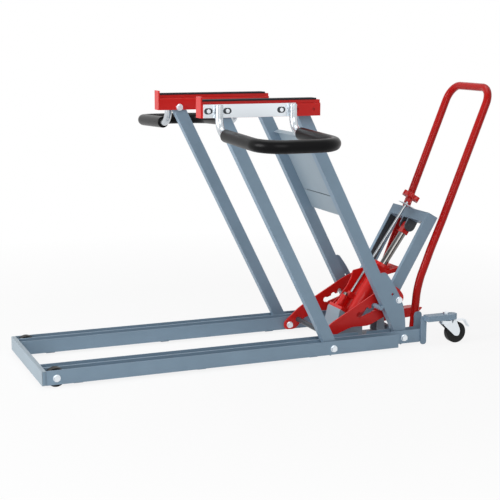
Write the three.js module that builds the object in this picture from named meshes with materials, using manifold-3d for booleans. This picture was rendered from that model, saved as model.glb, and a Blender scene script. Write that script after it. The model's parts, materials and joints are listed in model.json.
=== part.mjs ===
// Mower lift: two low base rails, four leaning arms, two platform rails with padded wheel loops,
// a foot-pumped jack that turns a U-shaped portal, two notched lock plates and a push handle.
// Millimetres. X runs along the machine (handle end at +X), Y across it, Z up from the floor.
import * as THREE from 'three';
import { mergeGeometries, mergeVertices } from 'three/addons/utils/BufferGeometryUtils.js';
import Module from 'manifold-3d';

const wasm = await Module();
wasm.setup();

// Base rails: each side is two channels back to back, open at the top.
const railOuterHalf = 231;
const laneWidth = 42;
const railWall = 3;
const railHeight = 46.2;
const railBottom = 9.3;
const pivotHeight = 30;
const armSpread = 292.1;
const frontReach = 988.4;
const outerLaneRear = 247;
const innerLaneRear = 352;
const frontBarDepth = 14;
const webCutBefore = 104;
const webCutAfter = 26;
const rollerSlotBefore = 36;
const footLength = 48;
const footWidth = 30;
const footSlopeShare = 0.2;
const footFrontInset = 96.4;
const footMiddleInset = 503.4;
const footRear = -86;

// Arms: rectangular tube, front pair in the outer lanes, rear pair in the inner lanes.
const armLength = 881.65;
const armLean = 26.63;
const armDepth = 40;
const armWidth = 30;
const armWall = 3;
const armEnd = 18;
const armFold = 55;
const pinRadius = 8;
const pinPlay = 0.4;
const boltHeadRadius = 10.5;
const boltHeadHeight = 7;
const washerRadius = 12;
const washerHeight = 1.5;
const stripBoltShare = 0.9;

// Platform rails: one on each side, hung on both pairs of arms.
const platformInnerInset = 43.5;
const platformOuterInset = 0.8;
const platformBehindPivot = 333.2;
const platformBeforePivot = 70.8;
const platformUnderPivot = 8.5;
const platformOverPivot = 33.2;
const platformWall = 3;
const platformEdge = 6;
const bandInset = 6;
const bandHeight = 9.7;
const padHeight = 9;
const padInset = 1.5;
const padRearInset = 14;
const stopDepth = 5;
const stopRise = 5.3;
const stripFrontInset = 2;
const stripRearInset = 88;
const stripHeight = 42;
const stripRise = 0.5;
const stripThickness = 4;
const slotPlaces = [-52.8, 11.2, 194.2];
const slotLength = 30;
const slotWidth = 17;
const holeBackInset = 24;
const holeMidInset = 83;
const smallHoleRadius = 5;

// Wheel loops: bent round bar with foam sleeves, placed from the upper arm pivots.
const loopBeforePivot = 20.8;
const loopBehindPivot = 230.2;
const loopTubeRadius = 12.5;
const loopOverPivot = 31.9;
const loopBend = 50;
const loopElbowDown = 56.1;
const loopOutreach = 369.8;
const loopDrop = 12;
const loopCorner = 75;
const foamRadius = 20;

// Rear arm fittings.
const crossTopDown = 99.65;
const crossPlateHeight = 316;
const crossPlateThickness = 3;
const crossPerp = 14;
const crossStep = 14;
const crossSlotUp = 74;
const crossSlotHeight = 4;
const crossSlotNearShare = 0.65;
const crossSlotFarShare = 0.92;
const gussetThickness = 6;
const gussetOutline = [[-20, 262], [19, 250], [40, 244], [48.5, 190], [51, 140], [49, 104], [33, 52], [19.5, 20],
  [-20, 20]];
const gussetRound = 10;
const gussetHole = [29, 160];
const portalPinPerp = 42;
const portalPinAlong = 129;
const lockPinPerp = -29.5;
const lockPinAlong = 139.2;
const lockPinRadius = 8;
const lockPinBracket = 4;

// Lock plates on the front pivot line.
const lockPlateGap = 15.5;
const lockPlateThickness = 6;
const lockPlateOutline = [[-20, 14], [-22, 40], [38, 92], [211, 187], [266, 210], [299, 194], [320, 163],
  [312, 139], [249, 100], [220, 88], [181, 70], [115, 72], [52, 49], [24, 12]];
const lockTieX = 32;
const lockTieZ = 48;
const lockTieRadius = 9;
const slotLobes = [[143.5, 111.5], [174.5, 126.5], [200, 140]];
const slotLobeRadius = 9.5;
const slotLowLeft = [150, 109.5];
const slotLowRight = [220, 134];
const slotLaneRadius = 8;
const lockPlateRound = 16;
const slotShoulderShare = 0.9;
const slotEndShare = 0.4;
const slotLeadShare = 1.2;
const pivotTubeRadius = 11;
const crossTubeRadius = 12;

// Jack, fixed on an inclined seat between the lock plates.
const jackTopX = 402;
const jackTopZ = 391.3;
const jackTilt = 35;
const jackBaseDown = 380;
const jackBodyRadius = 34;
const jackBodyLength = 212;
const jackBaseLength = 111;
const jackBaseWidth = 96;
const jackBaseThickness = 11;
const jackBaseBack = 76;
const jackSideOutline = [[-70, -384], [-61, -345], [-56, -305], [-60, -266], [-70, -242], [-39, -211], [-10, -202],
  [-10, -384]];
const jackSideNear = 38;
const jackSideThickness = 5;
const ramRadius = 13.5;
const ramStroke = 142;
const collarOutline = [[-44, -198], [-44, -181], [7, -181], [44, -144], [44, -164], [10, -198]];
const collarHalf = 40;
const boreFloor = 20;
const pumpOffset = 66;
const pumpRadius = 11.5;
const pumpHigh = 336;
const pumpFloor = 8;
const plungerRadius = 7;
const plungerHigh = 326;
const plungerStroke = 20;
const valveFront = 58;
const valveDown = 314;
const valveHeight = 20;
const valveHalf = 9;
const rodRadius = 4.5;
const rodOffset = 50;
const knobUp = 84;
const knobRadius = 35;
const knobThickness = 16;
const knobLobes = 6;
const knobLobeSteps = 8;
const knobLobeShare = 0.14;
const knobHubShare = 2.4;
const cradleThickness = 6;
const cradleHalf = 48;

// Portal: U-shaped frame from the rear arm gussets up over the jack.
const portalGap = 4.5;
const portalLegWidth = 42;
const portalLegDepth = 16;
const portalBeamLow = 23;
const portalBeamHigh = 60;
const portalFootRound = 21;
const lugRadius = 21;
const lugInner = 15;
const lugThickness = 6;
const clevisRadius = 13;
const clevisLength = 34;
const tabThickness = 3;
const tabHalf = 12;
const tabReach = 71;
const tabSlotNear = 37;
const tabSlotHalf = 6;

// Foot pedal of the pump.
const pedalPivotX = 289;
const pedalPivotZ = 66;
const pedalTipX = 432;
const pedalTipZ = 74;
const pedalHalf = 19;
const pedalWall = 3;
const pedalHeight = 34;

// Push handle.
const handleGap = 15.5;
const handleTubeRadius = 13;
const handleCorner = 58;
const handleTop = 883.3;
const handleLine = [[360, 46], [366, 110], [372, 178], [384, 226], [405, 279], [421, 321], [466, 425],
  [628, 736], [642, 772], [649, 808]];
const handleTopX = 651;

// Rear end: posts, handle brackets, caster bars and casters.
const postX = 357;
const postWidth = 22;
const postThickness = 6;
const postInset = 41;
const postTop = 101;
const bracketX = 369;
const bracketHalf = 15;
const bracketTop = 108;
const bracketThickness = 26;
const casterBarX = 363;
const casterBarEnd = 490;
const casterBarInset = 26;
const casterBarLow = 85.5;
const casterBarHeight = 19.5;
const casterBarWidth = 36;
const casterPivotX = 448;
const wheelRadius = 37.5;
const wheelWidth = 22;
const wheelTrail = 38;
const forkThickness = 3;
const forkGap = 2.2;
const casterPlateRadius = 24;
const casterHeadHeight = 12;
const farCasterTurn = 155;
const brakeReach = 52;
const brakePivotBack = 27.5;
const brakePivotZ = 79.5;
const brakePinRadius = 2.5;
const forkLugHalf = 6;
const forkLugTop = 83.5;
const brakeWidth = 20;
const rollerInset = 46.4;
const rollerRadius = 30;
const rollerWidth = 26;

const rad = Math.PI / 180;
const tidy = 0.3;
const seatGap = 0.05;
const fine = 14;
const coarse = 10;
const bodyFacets = 20;
const boltFacets = 6;
const bendSteps = 5;
const laneMidOuter = railOuterHalf - laneWidth / 2;
const laneMidInner = railOuterHalf - laneWidth * 3 / 2;
const innerFace = railOuterHalf - laneWidth * 2;
const innerY1 = railOuterHalf - laneWidth;
const lockPlateMid = innerFace - lockPlateGap;
const portalHalf = lockPlateMid - portalGap;
const handleHalf = innerFace - handleGap;
const postMid = railOuterHalf - postInset;
const casterBarMid = railOuterHalf - casterBarInset;
const topPivotX = -armLength * Math.sin(armLean * rad);
const topPivotZ = pivotHeight + armLength * Math.cos(armLean * rad);
const platformInner = railOuterHalf - platformInnerInset;
const platformOuter = railOuterHalf - platformOuterInset;
const platformRear = topPivotX + platformBehindPivot;
const platformFront = topPivotX - platformBeforePivot;
const platformLow = topPivotZ - platformUnderPivot;
const platformHigh = topPivotZ + platformOverPivot;
const padRear = platformRear - padRearInset;
const stripFront = platformFront + stripFrontInset;
const stripRear = platformRear - stripRearInset;
const stripLow = platformLow + stripRise;
const stripHigh = stripLow + stripHeight;
const slotXs = slotPlaces.map((x) => topPivotX + x);
const loopFrontX = topPivotX - loopBeforePivot;
const loopRearX = topPivotX + loopBehindPivot;
const loopTop = topPivotZ + loopOverPivot;
const loopElbowZ = topPivotZ - loopElbowDown;
const loopReach = platformOuter + loopOutreach;
const crossTopAlong = armLength - crossTopDown;
const crossLowAlong = crossTopAlong - crossPlateHeight;
const crossSlotAlong = crossLowAlong + crossSlotUp;
const handleEndX = handleTopX + handleTubeRadius;
const rollerX = -frontReach + rollerInset;
const shiftX = (frontReach - handleEndX) / 2;

// Colours read from the photograph.
const steelBlue = 0x748aa0;
const paleSteel = 0x93a3ae;
const red = 0xc0181c;
const zinc = 0xc4cad0;
const chrome = 0xb4b6ba;
const foamBlack = 0x1c1b1d;
const rubber = 0x222428;
const darkSteel = 0x2f353a;
const tyre = 0x26282b;

// Solid tools.
function solid(geometry) {
  const g = geometry.clone();
  g.deleteAttribute('normal');
  g.deleteAttribute('uv');
  const welded = mergeVertices(g, 1e-4);
  return new wasm.Manifold(new wasm.Mesh({
    numProp: 3,
    vertProperties: new Float32Array(welded.attributes.position.array),
    triVerts: new Uint32Array(welded.index.array),
  }));
}

function fromSolid(body) {
  const mesh = body.getMesh();
  const g = new THREE.BufferGeometry();
  const positions = new Float32Array(mesh.numVert * 3);
  for (let i = 0; i < mesh.numVert; i += 1) {
    for (let k = 0; k < 3; k += 1) {
      positions[i * 3 + k] = mesh.vertProperties[i * mesh.numProp + k];
    }
  }
  g.setAttribute('position', new THREE.BufferAttribute(positions, 3));
  g.setIndex(new THREE.BufferAttribute(new Uint32Array(mesh.triVerts), 1));
  const flat = g.toNonIndexed();
  flat.computeVertexNormals();
  return flat;
}

function cut(base, tools) {
  let body = solid(base);
  for (const tool of tools) {
    body = body.subtract(solid(tool));
  }
  return fromSolid(body);
}

function join(pieces) {
  let body = solid(pieces[0]);
  for (const piece of pieces.slice(1)) {
    body = body.add(solid(piece));
  }
  return fromSolid(body);
}

function gather(pieces) {
  const plain = pieces.map((piece) => {
    const g = piece.index ? piece.toNonIndexed() : piece.clone();
    g.deleteAttribute('uv');
    g.deleteAttribute('normal');
    g.computeVertexNormals();
    return g;
  });
  return mergeGeometries(plain);
}

function box(x0, x1, y0, y1, z0, z1) {
  const g = new THREE.BoxGeometry(x1 - x0, y1 - y0, z1 - z0);
  g.translate((x0 + x1) / 2, (y0 + y1) / 2, (z0 + z1) / 2);
  return g;
}

function rodY(radius, y0, y1, x, z, facets = fine) {
  const g = new THREE.CylinderGeometry(radius, radius, Math.abs(y1 - y0), facets);
  g.translate(x, (y0 + y1) / 2, z);
  return g;
}

function rodZ(radius, z0, z1, x, y, facets = fine) {
  const g = new THREE.CylinderGeometry(radius, radius, z1 - z0, facets);
  g.rotateX(Math.PI / 2);
  g.translate(x, y, (z0 + z1) / 2);
  return g;
}

// Outline in the X-Z plane with each corner rounded, given as [x, z] points.
function roundedOutline(points, radius) {
  const shape = new THREE.Shape();
  const count = points.length;
  for (let i = 0; i < count; i += 1) {
    const here = new THREE.Vector2(...points[i]);
    const before = new THREE.Vector2(...points[(i + count - 1) % count]);
    const after = new THREE.Vector2(...points[(i + 1) % count]);
    const backLength = before.distanceTo(here);
    const nextLength = after.distanceTo(here);
    const reach = Math.min(radius, backLength * 0.45, nextLength * 0.45);
    const start = here.clone().lerp(before, reach / backLength);
    const end = here.clone().lerp(after, reach / nextLength);
    if (i === 0) {
      shape.moveTo(start.x, start.y);
    } else {
      shape.lineTo(start.x, start.y);
    }
    if (radius > 0) {
      shape.quadraticCurveTo(here.x, here.y, end.x, end.y);
    }
  }
  shape.closePath();
  return shape;
}

// Plate lying in the X-Z plane between two Y values.
function plateY(shape, y0, y1, segments = 3) {
  const g = new THREE.ExtrudeGeometry(shape, { depth: y1 - y0, bevelEnabled: false, curveSegments: segments });
  g.rotateX(Math.PI / 2);
  g.translate(0, y1, 0);
  return g;
}

// Profile in the Y-Z plane run along X.
function runX(shape, x0, x1, segments = 4) {
  const g = new THREE.ExtrudeGeometry(shape, { depth: x1 - x0, bevelEnabled: false, curveSegments: segments });
  const turn = new THREE.Matrix4().makeBasis(
    new THREE.Vector3(0, 1, 0), new THREE.Vector3(0, 0, 1), new THREE.Vector3(1, 0, 0));
  g.applyMatrix4(turn);
  g.translate(x0, 0, 0);
  return g;
}

// Round bar swept through points; the rings follow a frame carried along the line.
function sweep(points, radius, facets = coarse) {
  const count = points.length;
  const tangents = points.map((p, i) => {
    const a = points[Math.max(i - 1, 0)];
    const b = points[Math.min(i + 1, count - 1)];
    return b.clone().sub(a).normalize();
  });
  const seed = Math.abs(tangents[0].z) < 0.9 ? new THREE.Vector3(0, 0, 1) : new THREE.Vector3(1, 0, 0);
  let normal = seed.clone().addScaledVector(tangents[0], -seed.dot(tangents[0])).normalize();
  const positions = [];
  for (let i = 0; i < count; i += 1) {
    normal = normal.clone().addScaledVector(tangents[i], -normal.dot(tangents[i])).normalize();
    const side = new THREE.Vector3().crossVectors(tangents[i], normal);
    for (let k = 0; k < facets; k += 1) {
      const turn = k / facets * 2 * Math.PI;
      const p = points[i].clone().addScaledVector(normal, Math.cos(turn) * radius)
        .addScaledVector(side, Math.sin(turn) * radius);
      positions.push(p.x, p.y, p.z);
    }
  }
  const last = count * facets;
  positions.push(points[0].x, points[0].y, points[0].z);
  positions.push(points[count - 1].x, points[count - 1].y, points[count - 1].z);
  const index = [];
  for (let i = 0; i < count - 1; i += 1) {
    for (let k = 0; k < facets; k += 1) {
      const k1 = (k + 1) % facets;
      const a = i * facets + k;
      const b = i * facets + k1;
      const c = (i + 1) * facets + k;
      const d = (i + 1) * facets + k1;
      index.push(a, b, c, b, d, c);
    }
  }
  for (let k = 0; k < facets; k += 1) {
    const k1 = (k + 1) % facets;
    index.push(last, k1, k);
    index.push(last + 1, (count - 1) * facets + k, (count - 1) * facets + k1);
  }
  const g = new THREE.BufferGeometry();
  g.setAttribute('position', new THREE.Float32BufferAttribute(positions, 3));
  g.setIndex(index);
  return g;
}

// Line through corner points with each inner corner rounded to a radius.
function filleted(corners, radii, steps = 6) {
  const out = [corners[0].clone()];
  for (let i = 1; i < corners.length - 1; i += 1) {
    const here = corners[i];
    const back = corners[i - 1].clone().sub(here);
    const next = corners[i + 1].clone().sub(here);
    const half = back.angleTo(next) / 2;
    const limit = Math.min(back.length(), next.length()) * 0.48;
    const reach = Math.min(radii[i - 1] / Math.tan(half), limit);
    const start = here.clone().addScaledVector(back.clone().normalize(), reach);
    const end = here.clone().addScaledVector(next.clone().normalize(), reach);
    const radius = reach * Math.tan(half);
    const toCentre = back.clone().normalize().add(next.clone().normalize()).normalize();
    const centre = here.clone().addScaledVector(toCentre, radius / Math.sin(half));
    const a = start.clone().sub(centre);
    const b = end.clone().sub(centre);
    const sweepAngle = a.angleTo(b);
    for (let s = 0; s <= steps; s += 1) {
      const t = s / steps;
      const pa = Math.sin((1 - t) * sweepAngle) / Math.sin(sweepAngle);
      const pb = Math.sin(t * sweepAngle) / Math.sin(sweepAngle);
      out.push(centre.clone().addScaledVector(a, pa).addScaledVector(b, pb));
    }
  }
  out.push(corners[corners.length - 1].clone());
  return out;
}

function vec(x, y, z) {
  return new THREE.Vector3(x, y, z);
}

// Hexagon head with a washer on the face at y, pointing along side (+1 or -1).
function boltY(x, z, y, side, scale = 1) {
  const washer = rodY(washerRadius * scale, y, y + side * washerHeight, x, z, fine);
  const head = rodY(boltHeadRadius * scale, y + side * washerHeight,
    y + side * (washerHeight + boltHeadHeight * scale), x, z, boltFacets);
  return join([washer, head]);
}

// Frame of an arm: X across the arm, Z along it, from its lower pivot.
function armFrame(pivotX) {
  const along = vec(-Math.sin(armLean * rad), 0, Math.cos(armLean * rad));
  const across = vec(Math.cos(armLean * rad), 0, Math.sin(armLean * rad));
  const m = new THREE.Matrix4().makeBasis(across, vec(0, 1, 0), along);
  m.setPosition(pivotX, 0, pivotHeight);
  return m;
}

// Frame of the jack: Z runs up the ram axis to the top pin, X points back and down.
function jackFrame() {
  const up = vec(Math.sin(jackTilt * rad), 0, Math.cos(jackTilt * rad));
  const back = vec(Math.cos(jackTilt * rad), 0, -Math.sin(jackTilt * rad));
  const m = new THREE.Matrix4().makeBasis(back, vec(0, 1, 0), up);
  m.setPosition(jackTopX, 0, jackTopZ);
  return m;
}

const jackSpace = jackFrame();
const rearSpace = armFrame(armSpread);
const portalPin = vec(portalPinPerp, 0, portalPinAlong).applyMatrix4(rearSpace);
const lockPin = vec(lockPinPerp, 0, lockPinAlong).applyMatrix4(rearSpace);

const group = new THREE.Group();
group.name = 'mower_lift';

function add(name, geometry, color, metalness = 0.1, roughness = 0.5) {
  const g = geometry.clone();
  g.translate(shiftX, 0, 0);
  const mesh = new THREE.Mesh(g, new THREE.MeshStandardMaterial({ color, metalness, roughness }));
  mesh.name = name;
  group.add(mesh);
}

// Mirrored copy of a geometry for the other side.
function otherSide(geometry) {
  const g = geometry.index ? geometry.toNonIndexed() : geometry.clone();
  const p = g.attributes.position;
  for (let i = 0; i < p.count; i += 3) {
    const ax = p.getX(i);
    const ay = p.getY(i);
    const az = p.getZ(i);
    p.setXYZ(i, p.getX(i + 1), -p.getY(i + 1), p.getZ(i + 1));
    p.setXYZ(i + 1, ax, -ay, az);
    p.setY(i + 2, -p.getY(i + 2));
  }
  g.computeVertexNormals();
  return g;
}

function addPair(name, geometry, color, metalness, roughness) {
  add(`${name}_right`, geometry, color, metalness, roughness);
  add(`${name}_left`, otherSide(geometry), color, metalness, roughness);
}

// Open-topped channel between two Y values, with floor windows where arms and rollers turn.
function channel(y0, y1, x0, x1, windows, holes) {
  const shape = new THREE.Shape();
  const top = railBottom + railHeight;
  shape.moveTo(y0, railBottom);
  shape.lineTo(y1, railBottom);
  shape.lineTo(y1, top);
  shape.lineTo(y1 - railWall, top);
  shape.lineTo(y1 - railWall, railBottom + railWall);
  shape.lineTo(y0 + railWall, railBottom + railWall);
  shape.lineTo(y0 + railWall, top);
  shape.lineTo(y0, top);
  shape.closePath();
  const tools = windows.map(([a, b]) => box(a, b, y0 + railWall, y1 - railWall,
    railBottom - railWall, railBottom + railWall * 2));
  for (const x of holes) {
    tools.push(rodY(pinRadius + pinPlay / 2, y0 - railWall, y1 + railWall, x, pivotHeight));
  }
  return cut(runX(shape, x0, x1), tools);
}

const frontInner = -frontReach + frontBarDepth;
addPair('rail_outer', channel(railOuterHalf - laneWidth, railOuterHalf, frontInner, outerLaneRear,
  [[frontInner - railWall, rollerX + rollerSlotBefore], [-webCutBefore, webCutAfter]], [0, rollerX]),
steelBlue);

const frontBar = new THREE.Shape();
frontBar.moveTo(-frontReach, railBottom);
frontBar.lineTo(frontInner, railBottom);
frontBar.lineTo(frontInner, railBottom + railHeight);
frontBar.lineTo(-frontReach, railBottom + railHeight);
frontBar.closePath();
const frontHollow = box(-frontReach + railWall, frontInner - railWall, -railOuterHalf - railWall,
  railOuterHalf + railWall, railBottom + railWall, railBottom + railHeight - railWall);
add('front_bar', cut(plateY(frontBar, -railOuterHalf, railOuterHalf), [frontHollow]), paleSteel);

// Cross tube between the two rails.
const tieX = innerLaneRear - crossTubeRadius * 2;
const tieZ = railBottom + crossTubeRadius;
add('cross_tube_rear', rodY(crossTubeRadius, -innerFace, innerFace, tieX, tieZ), steelBlue);

// Low feet under the rails, welded to the inner channels.
const foldedPin = lockPin.clone().sub(vec(armSpread, 0, pivotHeight))
  .applyAxisAngle(vec(0, -1, 0), armFold * rad).add(vec(armSpread, 0, pivotHeight));
const pinWindowFront = foldedPin.x - lockPinRadius * 2;
const pinWindowRear = foldedPin.x + lockPinRadius * 2;
const pinWindow = box(pinWindowFront, pinWindowRear, lockPlateMid + lockPlateThickness, innerY1 - railWall,
  railBottom - railWall, railBottom + railHeight + railWall);
const innerChannel = cut(channel(innerFace, innerY1, frontInner, innerLaneRear,
  [[armSpread - webCutBefore, armSpread + webCutAfter]], [armSpread, 0]), [pinWindow]);
const footFronts = [-frontReach + footFrontInset, -frontReach + footMiddleInset, footRear];
const feet = footFronts.map((x) => {
  const shape = roundedOutline([[x, railBottom], [x + footLength * footSlopeShare, 0],
    [x + footLength * (1 - footSlopeShare), 0], [x + footLength, railBottom]], 0);
  return plateY(shape, innerY1 - footWidth / 2, innerY1 + footWidth / 2);
});

// Round-topped bracket that holds the handle leg.
const bracketShape = roundedOutline([[bracketX - bracketHalf, railBottom + railHeight / 2],
  [bracketX + bracketHalf, railBottom + railHeight / 2], [bracketX + bracketHalf, bracketTop],
  [bracketX - bracketHalf, bracketTop]], bracketHalf * 0.9);
const bracket = plateY(bracketShape, handleHalf + handleTubeRadius + tidy, innerFace + railWall);
const innerEnd = box(innerLaneRear - railWall, bracketX + bracketHalf, innerFace, innerFace + railWall,
  railBottom, railBottom + railHeight);
const postInner = postMid - postThickness / 2;
const postTie = box(innerLaneRear - railWall, postX + postWidth, postInner - railWall, postInner,
  railBottom, railBottom + railHeight);
addPair('rail_inner', join([innerChannel, ...feet, bracket, innerEnd, postTie]), steelBlue);

// Front rollers run in the outer lanes.
const tyreEdge = rollerWidth / 6;
const rollerProfile = [
  [pinRadius + pinPlay, -rollerWidth / 2], [rollerRadius - tyreEdge, -rollerWidth / 2],
  [rollerRadius, -rollerWidth / 2 + tyreEdge], [rollerRadius, rollerWidth / 2 - tyreEdge],
  [rollerRadius - tyreEdge, rollerWidth / 2], [pinRadius + pinPlay, rollerWidth / 2],
  [pinRadius + pinPlay, -rollerWidth / 2],
].map(([r, y]) => new THREE.Vector2(r, y));
const roller = new THREE.LatheGeometry(rollerProfile, fine * 1.5);
roller.translate(rollerX, laneMidOuter, rollerRadius);
addPair('roller', roller, tyre);

// Pivot pins with hexagon heads: rollers, front arms and rear arms.
function pivotPin(x, yIn, yOut, headSide) {
  const shank = rodY(pinRadius, yIn, yOut, x, pivotHeight);
  const headFace = headSide > 0 ? yOut : yIn;
  return [shank, boltY(x, pivotHeight, headFace, headSide)];
}
addPair('roller_axle', join(pivotPin(rollerX, innerY1 + railWall, railOuterHalf, 1)), zinc, 0.7, 0.35);
addPair('rear_pivot_pin', join(pivotPin(armSpread, innerFace, innerY1, 1)), zinc, 0.7, 0.35);

// Hollow arm in its own frame.
function arm(yMid, space, extraCuts = []) {
  const outer = box(-armDepth / 2, armDepth / 2, yMid - armWidth / 2, yMid + armWidth / 2,
    -armEnd, armLength + armEnd);
  const inner = box(-armDepth / 2 + armWall, armDepth / 2 - armWall, yMid - armWidth / 2 + armWall,
    yMid + armWidth / 2 - armWall, -armEnd - armWall, armLength + armEnd + armWall);
  const lower = rodY(pinRadius + pinPlay, yMid - armWidth, yMid + armWidth, 0, 0);
  const upper = rodY(pinRadius + pinPlay, yMid - armWidth, yMid + armWidth, 0, armLength);
  const g = cut(outer, [inner, lower, upper, ...extraCuts]);
  g.applyMatrix4(space);
  return g;
}
addPair('front_arm', arm(laneMidOuter, armFrame(0)), steelBlue);
const portalPinHole = rodY(pinRadius + pinPlay, 0, railOuterHalf, portalPinPerp, portalPinAlong);
const rearArm = arm(laneMidInner, rearSpace);

// Folded plate that ties the two rear arms together.
const crossSide = laneMidInner - armWidth / 2;
const crossShape = new THREE.Shape();
crossShape.moveTo(crossPerp, crossLowAlong);
crossShape.lineTo(crossPerp + crossPlateThickness, crossLowAlong);
crossShape.lineTo(crossPerp + crossPlateThickness, crossTopAlong);
crossShape.lineTo(crossPerp - crossStep, crossTopAlong);
crossShape.lineTo(crossPerp - crossStep, crossTopAlong - crossPlateThickness);
crossShape.lineTo(crossPerp, crossTopAlong - crossPlateThickness);
crossShape.closePath();
const crossPlate = cut(plateY(crossShape, -crossSide, crossSide), [
  box(crossPerp - crossStep, crossPerp + crossStep, -crossSide * crossSlotNearShare, crossSide * crossSlotFarShare, crossSlotAlong,
    crossSlotAlong + crossSlotHeight),
]);
crossPlate.applyMatrix4(rearSpace);
add('cross_plate', crossPlate, paleSteel);

// Gussets on the outer faces of the rear arms carry the portal pins.
const gussetY0 = laneMidInner + armWidth / 2;
const gussetShape = roundedOutline(gussetOutline, gussetRound);
const gussetBlank = plateY(gussetShape, gussetY0 - gussetThickness, gussetY0);
const gusset = cut(gussetBlank, [
  box(-armDepth, armDepth / 2 - armWall / 2, gussetY0 - armWidth * 2, gussetY0 + armWidth, -armDepth, armLength),
  rodY(smallHoleRadius, gussetY0 - armWidth, gussetY0 + armWidth, gussetHole[0], gussetHole[1], coarse),
  portalPinHole,
]);
gusset.applyMatrix4(rearSpace);

// Portal pins and lock pins stop just outside the lock plates.
const lockPinY0 = lockPlateMid + lockPlateThickness / 2 + tidy * 4;
const portalPinSolid = join([
  rodY(pinRadius, lockPinY0, gussetY0, portalPin.x, portalPin.z),
  boltY(portalPin.x, portalPin.z, gussetY0, 1),
]);
addPair('portal_pin', portalPinSolid, zinc, 0.7, 0.35);

// Lock pins on the front faces of the rear arms reach in to the lock plates.
const lockPinSolid = rodY(lockPinRadius, lockPinY0, laneMidInner + armWidth / 2, lockPin.x, lockPin.z);
const lockPinWeld = box(lockPinPerp - lockPinRadius / 2, -armDepth / 2 + armWall / 2,
  laneMidInner - armWidth / 2, laneMidInner + armWidth / 2, lockPinAlong - lockPinRadius / 2,
  lockPinAlong + lockPinRadius / 2);
lockPinWeld.applyMatrix4(rearSpace);
addPair('rear_arm', join([rearArm, gusset, lockPinSolid, lockPinWeld]), steelBlue);

// Platform rail: inverted channel with a narrower raised band on top.
const railShape = new THREE.Shape();
const bandTop = platformHigh + bandHeight;
const bandY0 = platformInner + bandInset;
const bandY1 = platformOuter - bandInset;
railShape.moveTo(platformInner, platformLow);
railShape.lineTo(platformInner + platformWall, platformLow);
railShape.lineTo(platformInner + platformWall, platformHigh - platformWall);
railShape.lineTo(platformOuter - platformWall, platformHigh - platformWall);
railShape.lineTo(platformOuter - platformWall, platformLow);
railShape.lineTo(platformOuter, platformLow);
railShape.lineTo(platformOuter, platformHigh - platformEdge);
railShape.quadraticCurveTo(platformOuter, platformHigh, platformOuter - platformEdge, platformHigh);
railShape.lineTo(bandY1, platformHigh);
railShape.lineTo(bandY1, bandTop);
railShape.lineTo(bandY0, bandTop);
railShape.lineTo(bandY0, platformHigh);
railShape.lineTo(platformInner + platformEdge, platformHigh);
railShape.quadraticCurveTo(platformInner, platformHigh, platformInner, platformHigh - platformEdge);
railShape.closePath();
const stripMidZ = (stripLow + stripHigh) / 2;
const platformHoles = [
  rodY(pinRadius + pinPlay / 2, platformInner - platformWall, platformOuter + platformWall, topPivotX, topPivotZ),
  rodY(pinRadius + pinPlay / 2, platformInner - platformWall, platformInner + platformWall * 2,
    topPivotX + armSpread, topPivotZ),
  rodY(smallHoleRadius, platformInner - platformWall, platformOuter + platformWall, platformRear - holeBackInset,
    stripMidZ, coarse),
  rodY(smallHoleRadius * 1.2, platformOuter - platformWall * 2, platformOuter + platformWall,
    platformRear - holeMidInset, stripMidZ, coarse),
];

const padShape = roundedOutline([[platformInner + padInset, bandTop], [platformOuter - padInset, bandTop],
  [platformOuter - padInset, bandTop + padHeight], [platformInner + padInset, bandTop + padHeight]],
padHeight / 4);
addPair('platform_pad', runX(padShape, platformFront + padInset, padRear, 3), rubber, 0, 0.9);

const stopShape = roundedOutline([[platformInner, platformLow], [platformOuter, platformLow],
  [platformOuter, bandTop + padHeight + stopRise], [platformInner, bandTop + padHeight + stopRise]],
platformEdge / 3);
const endStop = runX(stopShape, platformFront - stopDepth, platformFront, 3);
addPair('platform_rail', join([cut(runX(railShape, platformFront, platformRear, 4), platformHoles), endStop]),
  red);

// Zinc strip with slots on the outer face of each platform rail.
function slotShape(x, z, length, width) {
  const slot = new THREE.Shape();
  const half = length / 2 - width / 2;
  slot.absarc(x + half, z, width / 2, -Math.PI / 2, Math.PI / 2, false);
  slot.absarc(x - half, z, width / 2, Math.PI / 2, Math.PI * 3 / 2, false);
  slot.closePath();
  return slot;
}
const stripY0 = platformOuter;
const stripY1 = platformOuter + stripThickness;
const strip = cut(box(stripFront, stripRear, stripY0, stripY1, stripLow, stripHigh),
  slotXs.map((x) => plateY(slotShape(x, stripMidZ, slotLength, slotWidth), stripY0 - stripThickness,
    stripY1 + stripThickness, 6)));
const stripBolts = slotXs.map((x) => boltY(x, stripMidZ, stripY1, 1, stripBoltShare));
addPair('loop_strip', join([strip, ...stripBolts]), zinc, 0.7, 0.35);

// Top pivot pins of the arms in the platform rails.
const topFront = join([
  rodY(pinRadius, platformInner, platformOuter, topPivotX, topPivotZ),
  boltY(topPivotX, topPivotZ, platformInner, -1),
]);
const topRear = join([
  rodY(pinRadius, laneMidInner - armWidth / 2, platformInner + platformWall, topPivotX + armSpread, topPivotZ),
  boltY(topPivotX + armSpread, topPivotZ, laneMidInner - armWidth / 2, -1),
]);
addPair('platform_pin_front', topFront, zinc, 0.7, 0.35);
addPair('platform_pin_rear', topRear, zinc, 0.7, 0.35);

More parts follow.
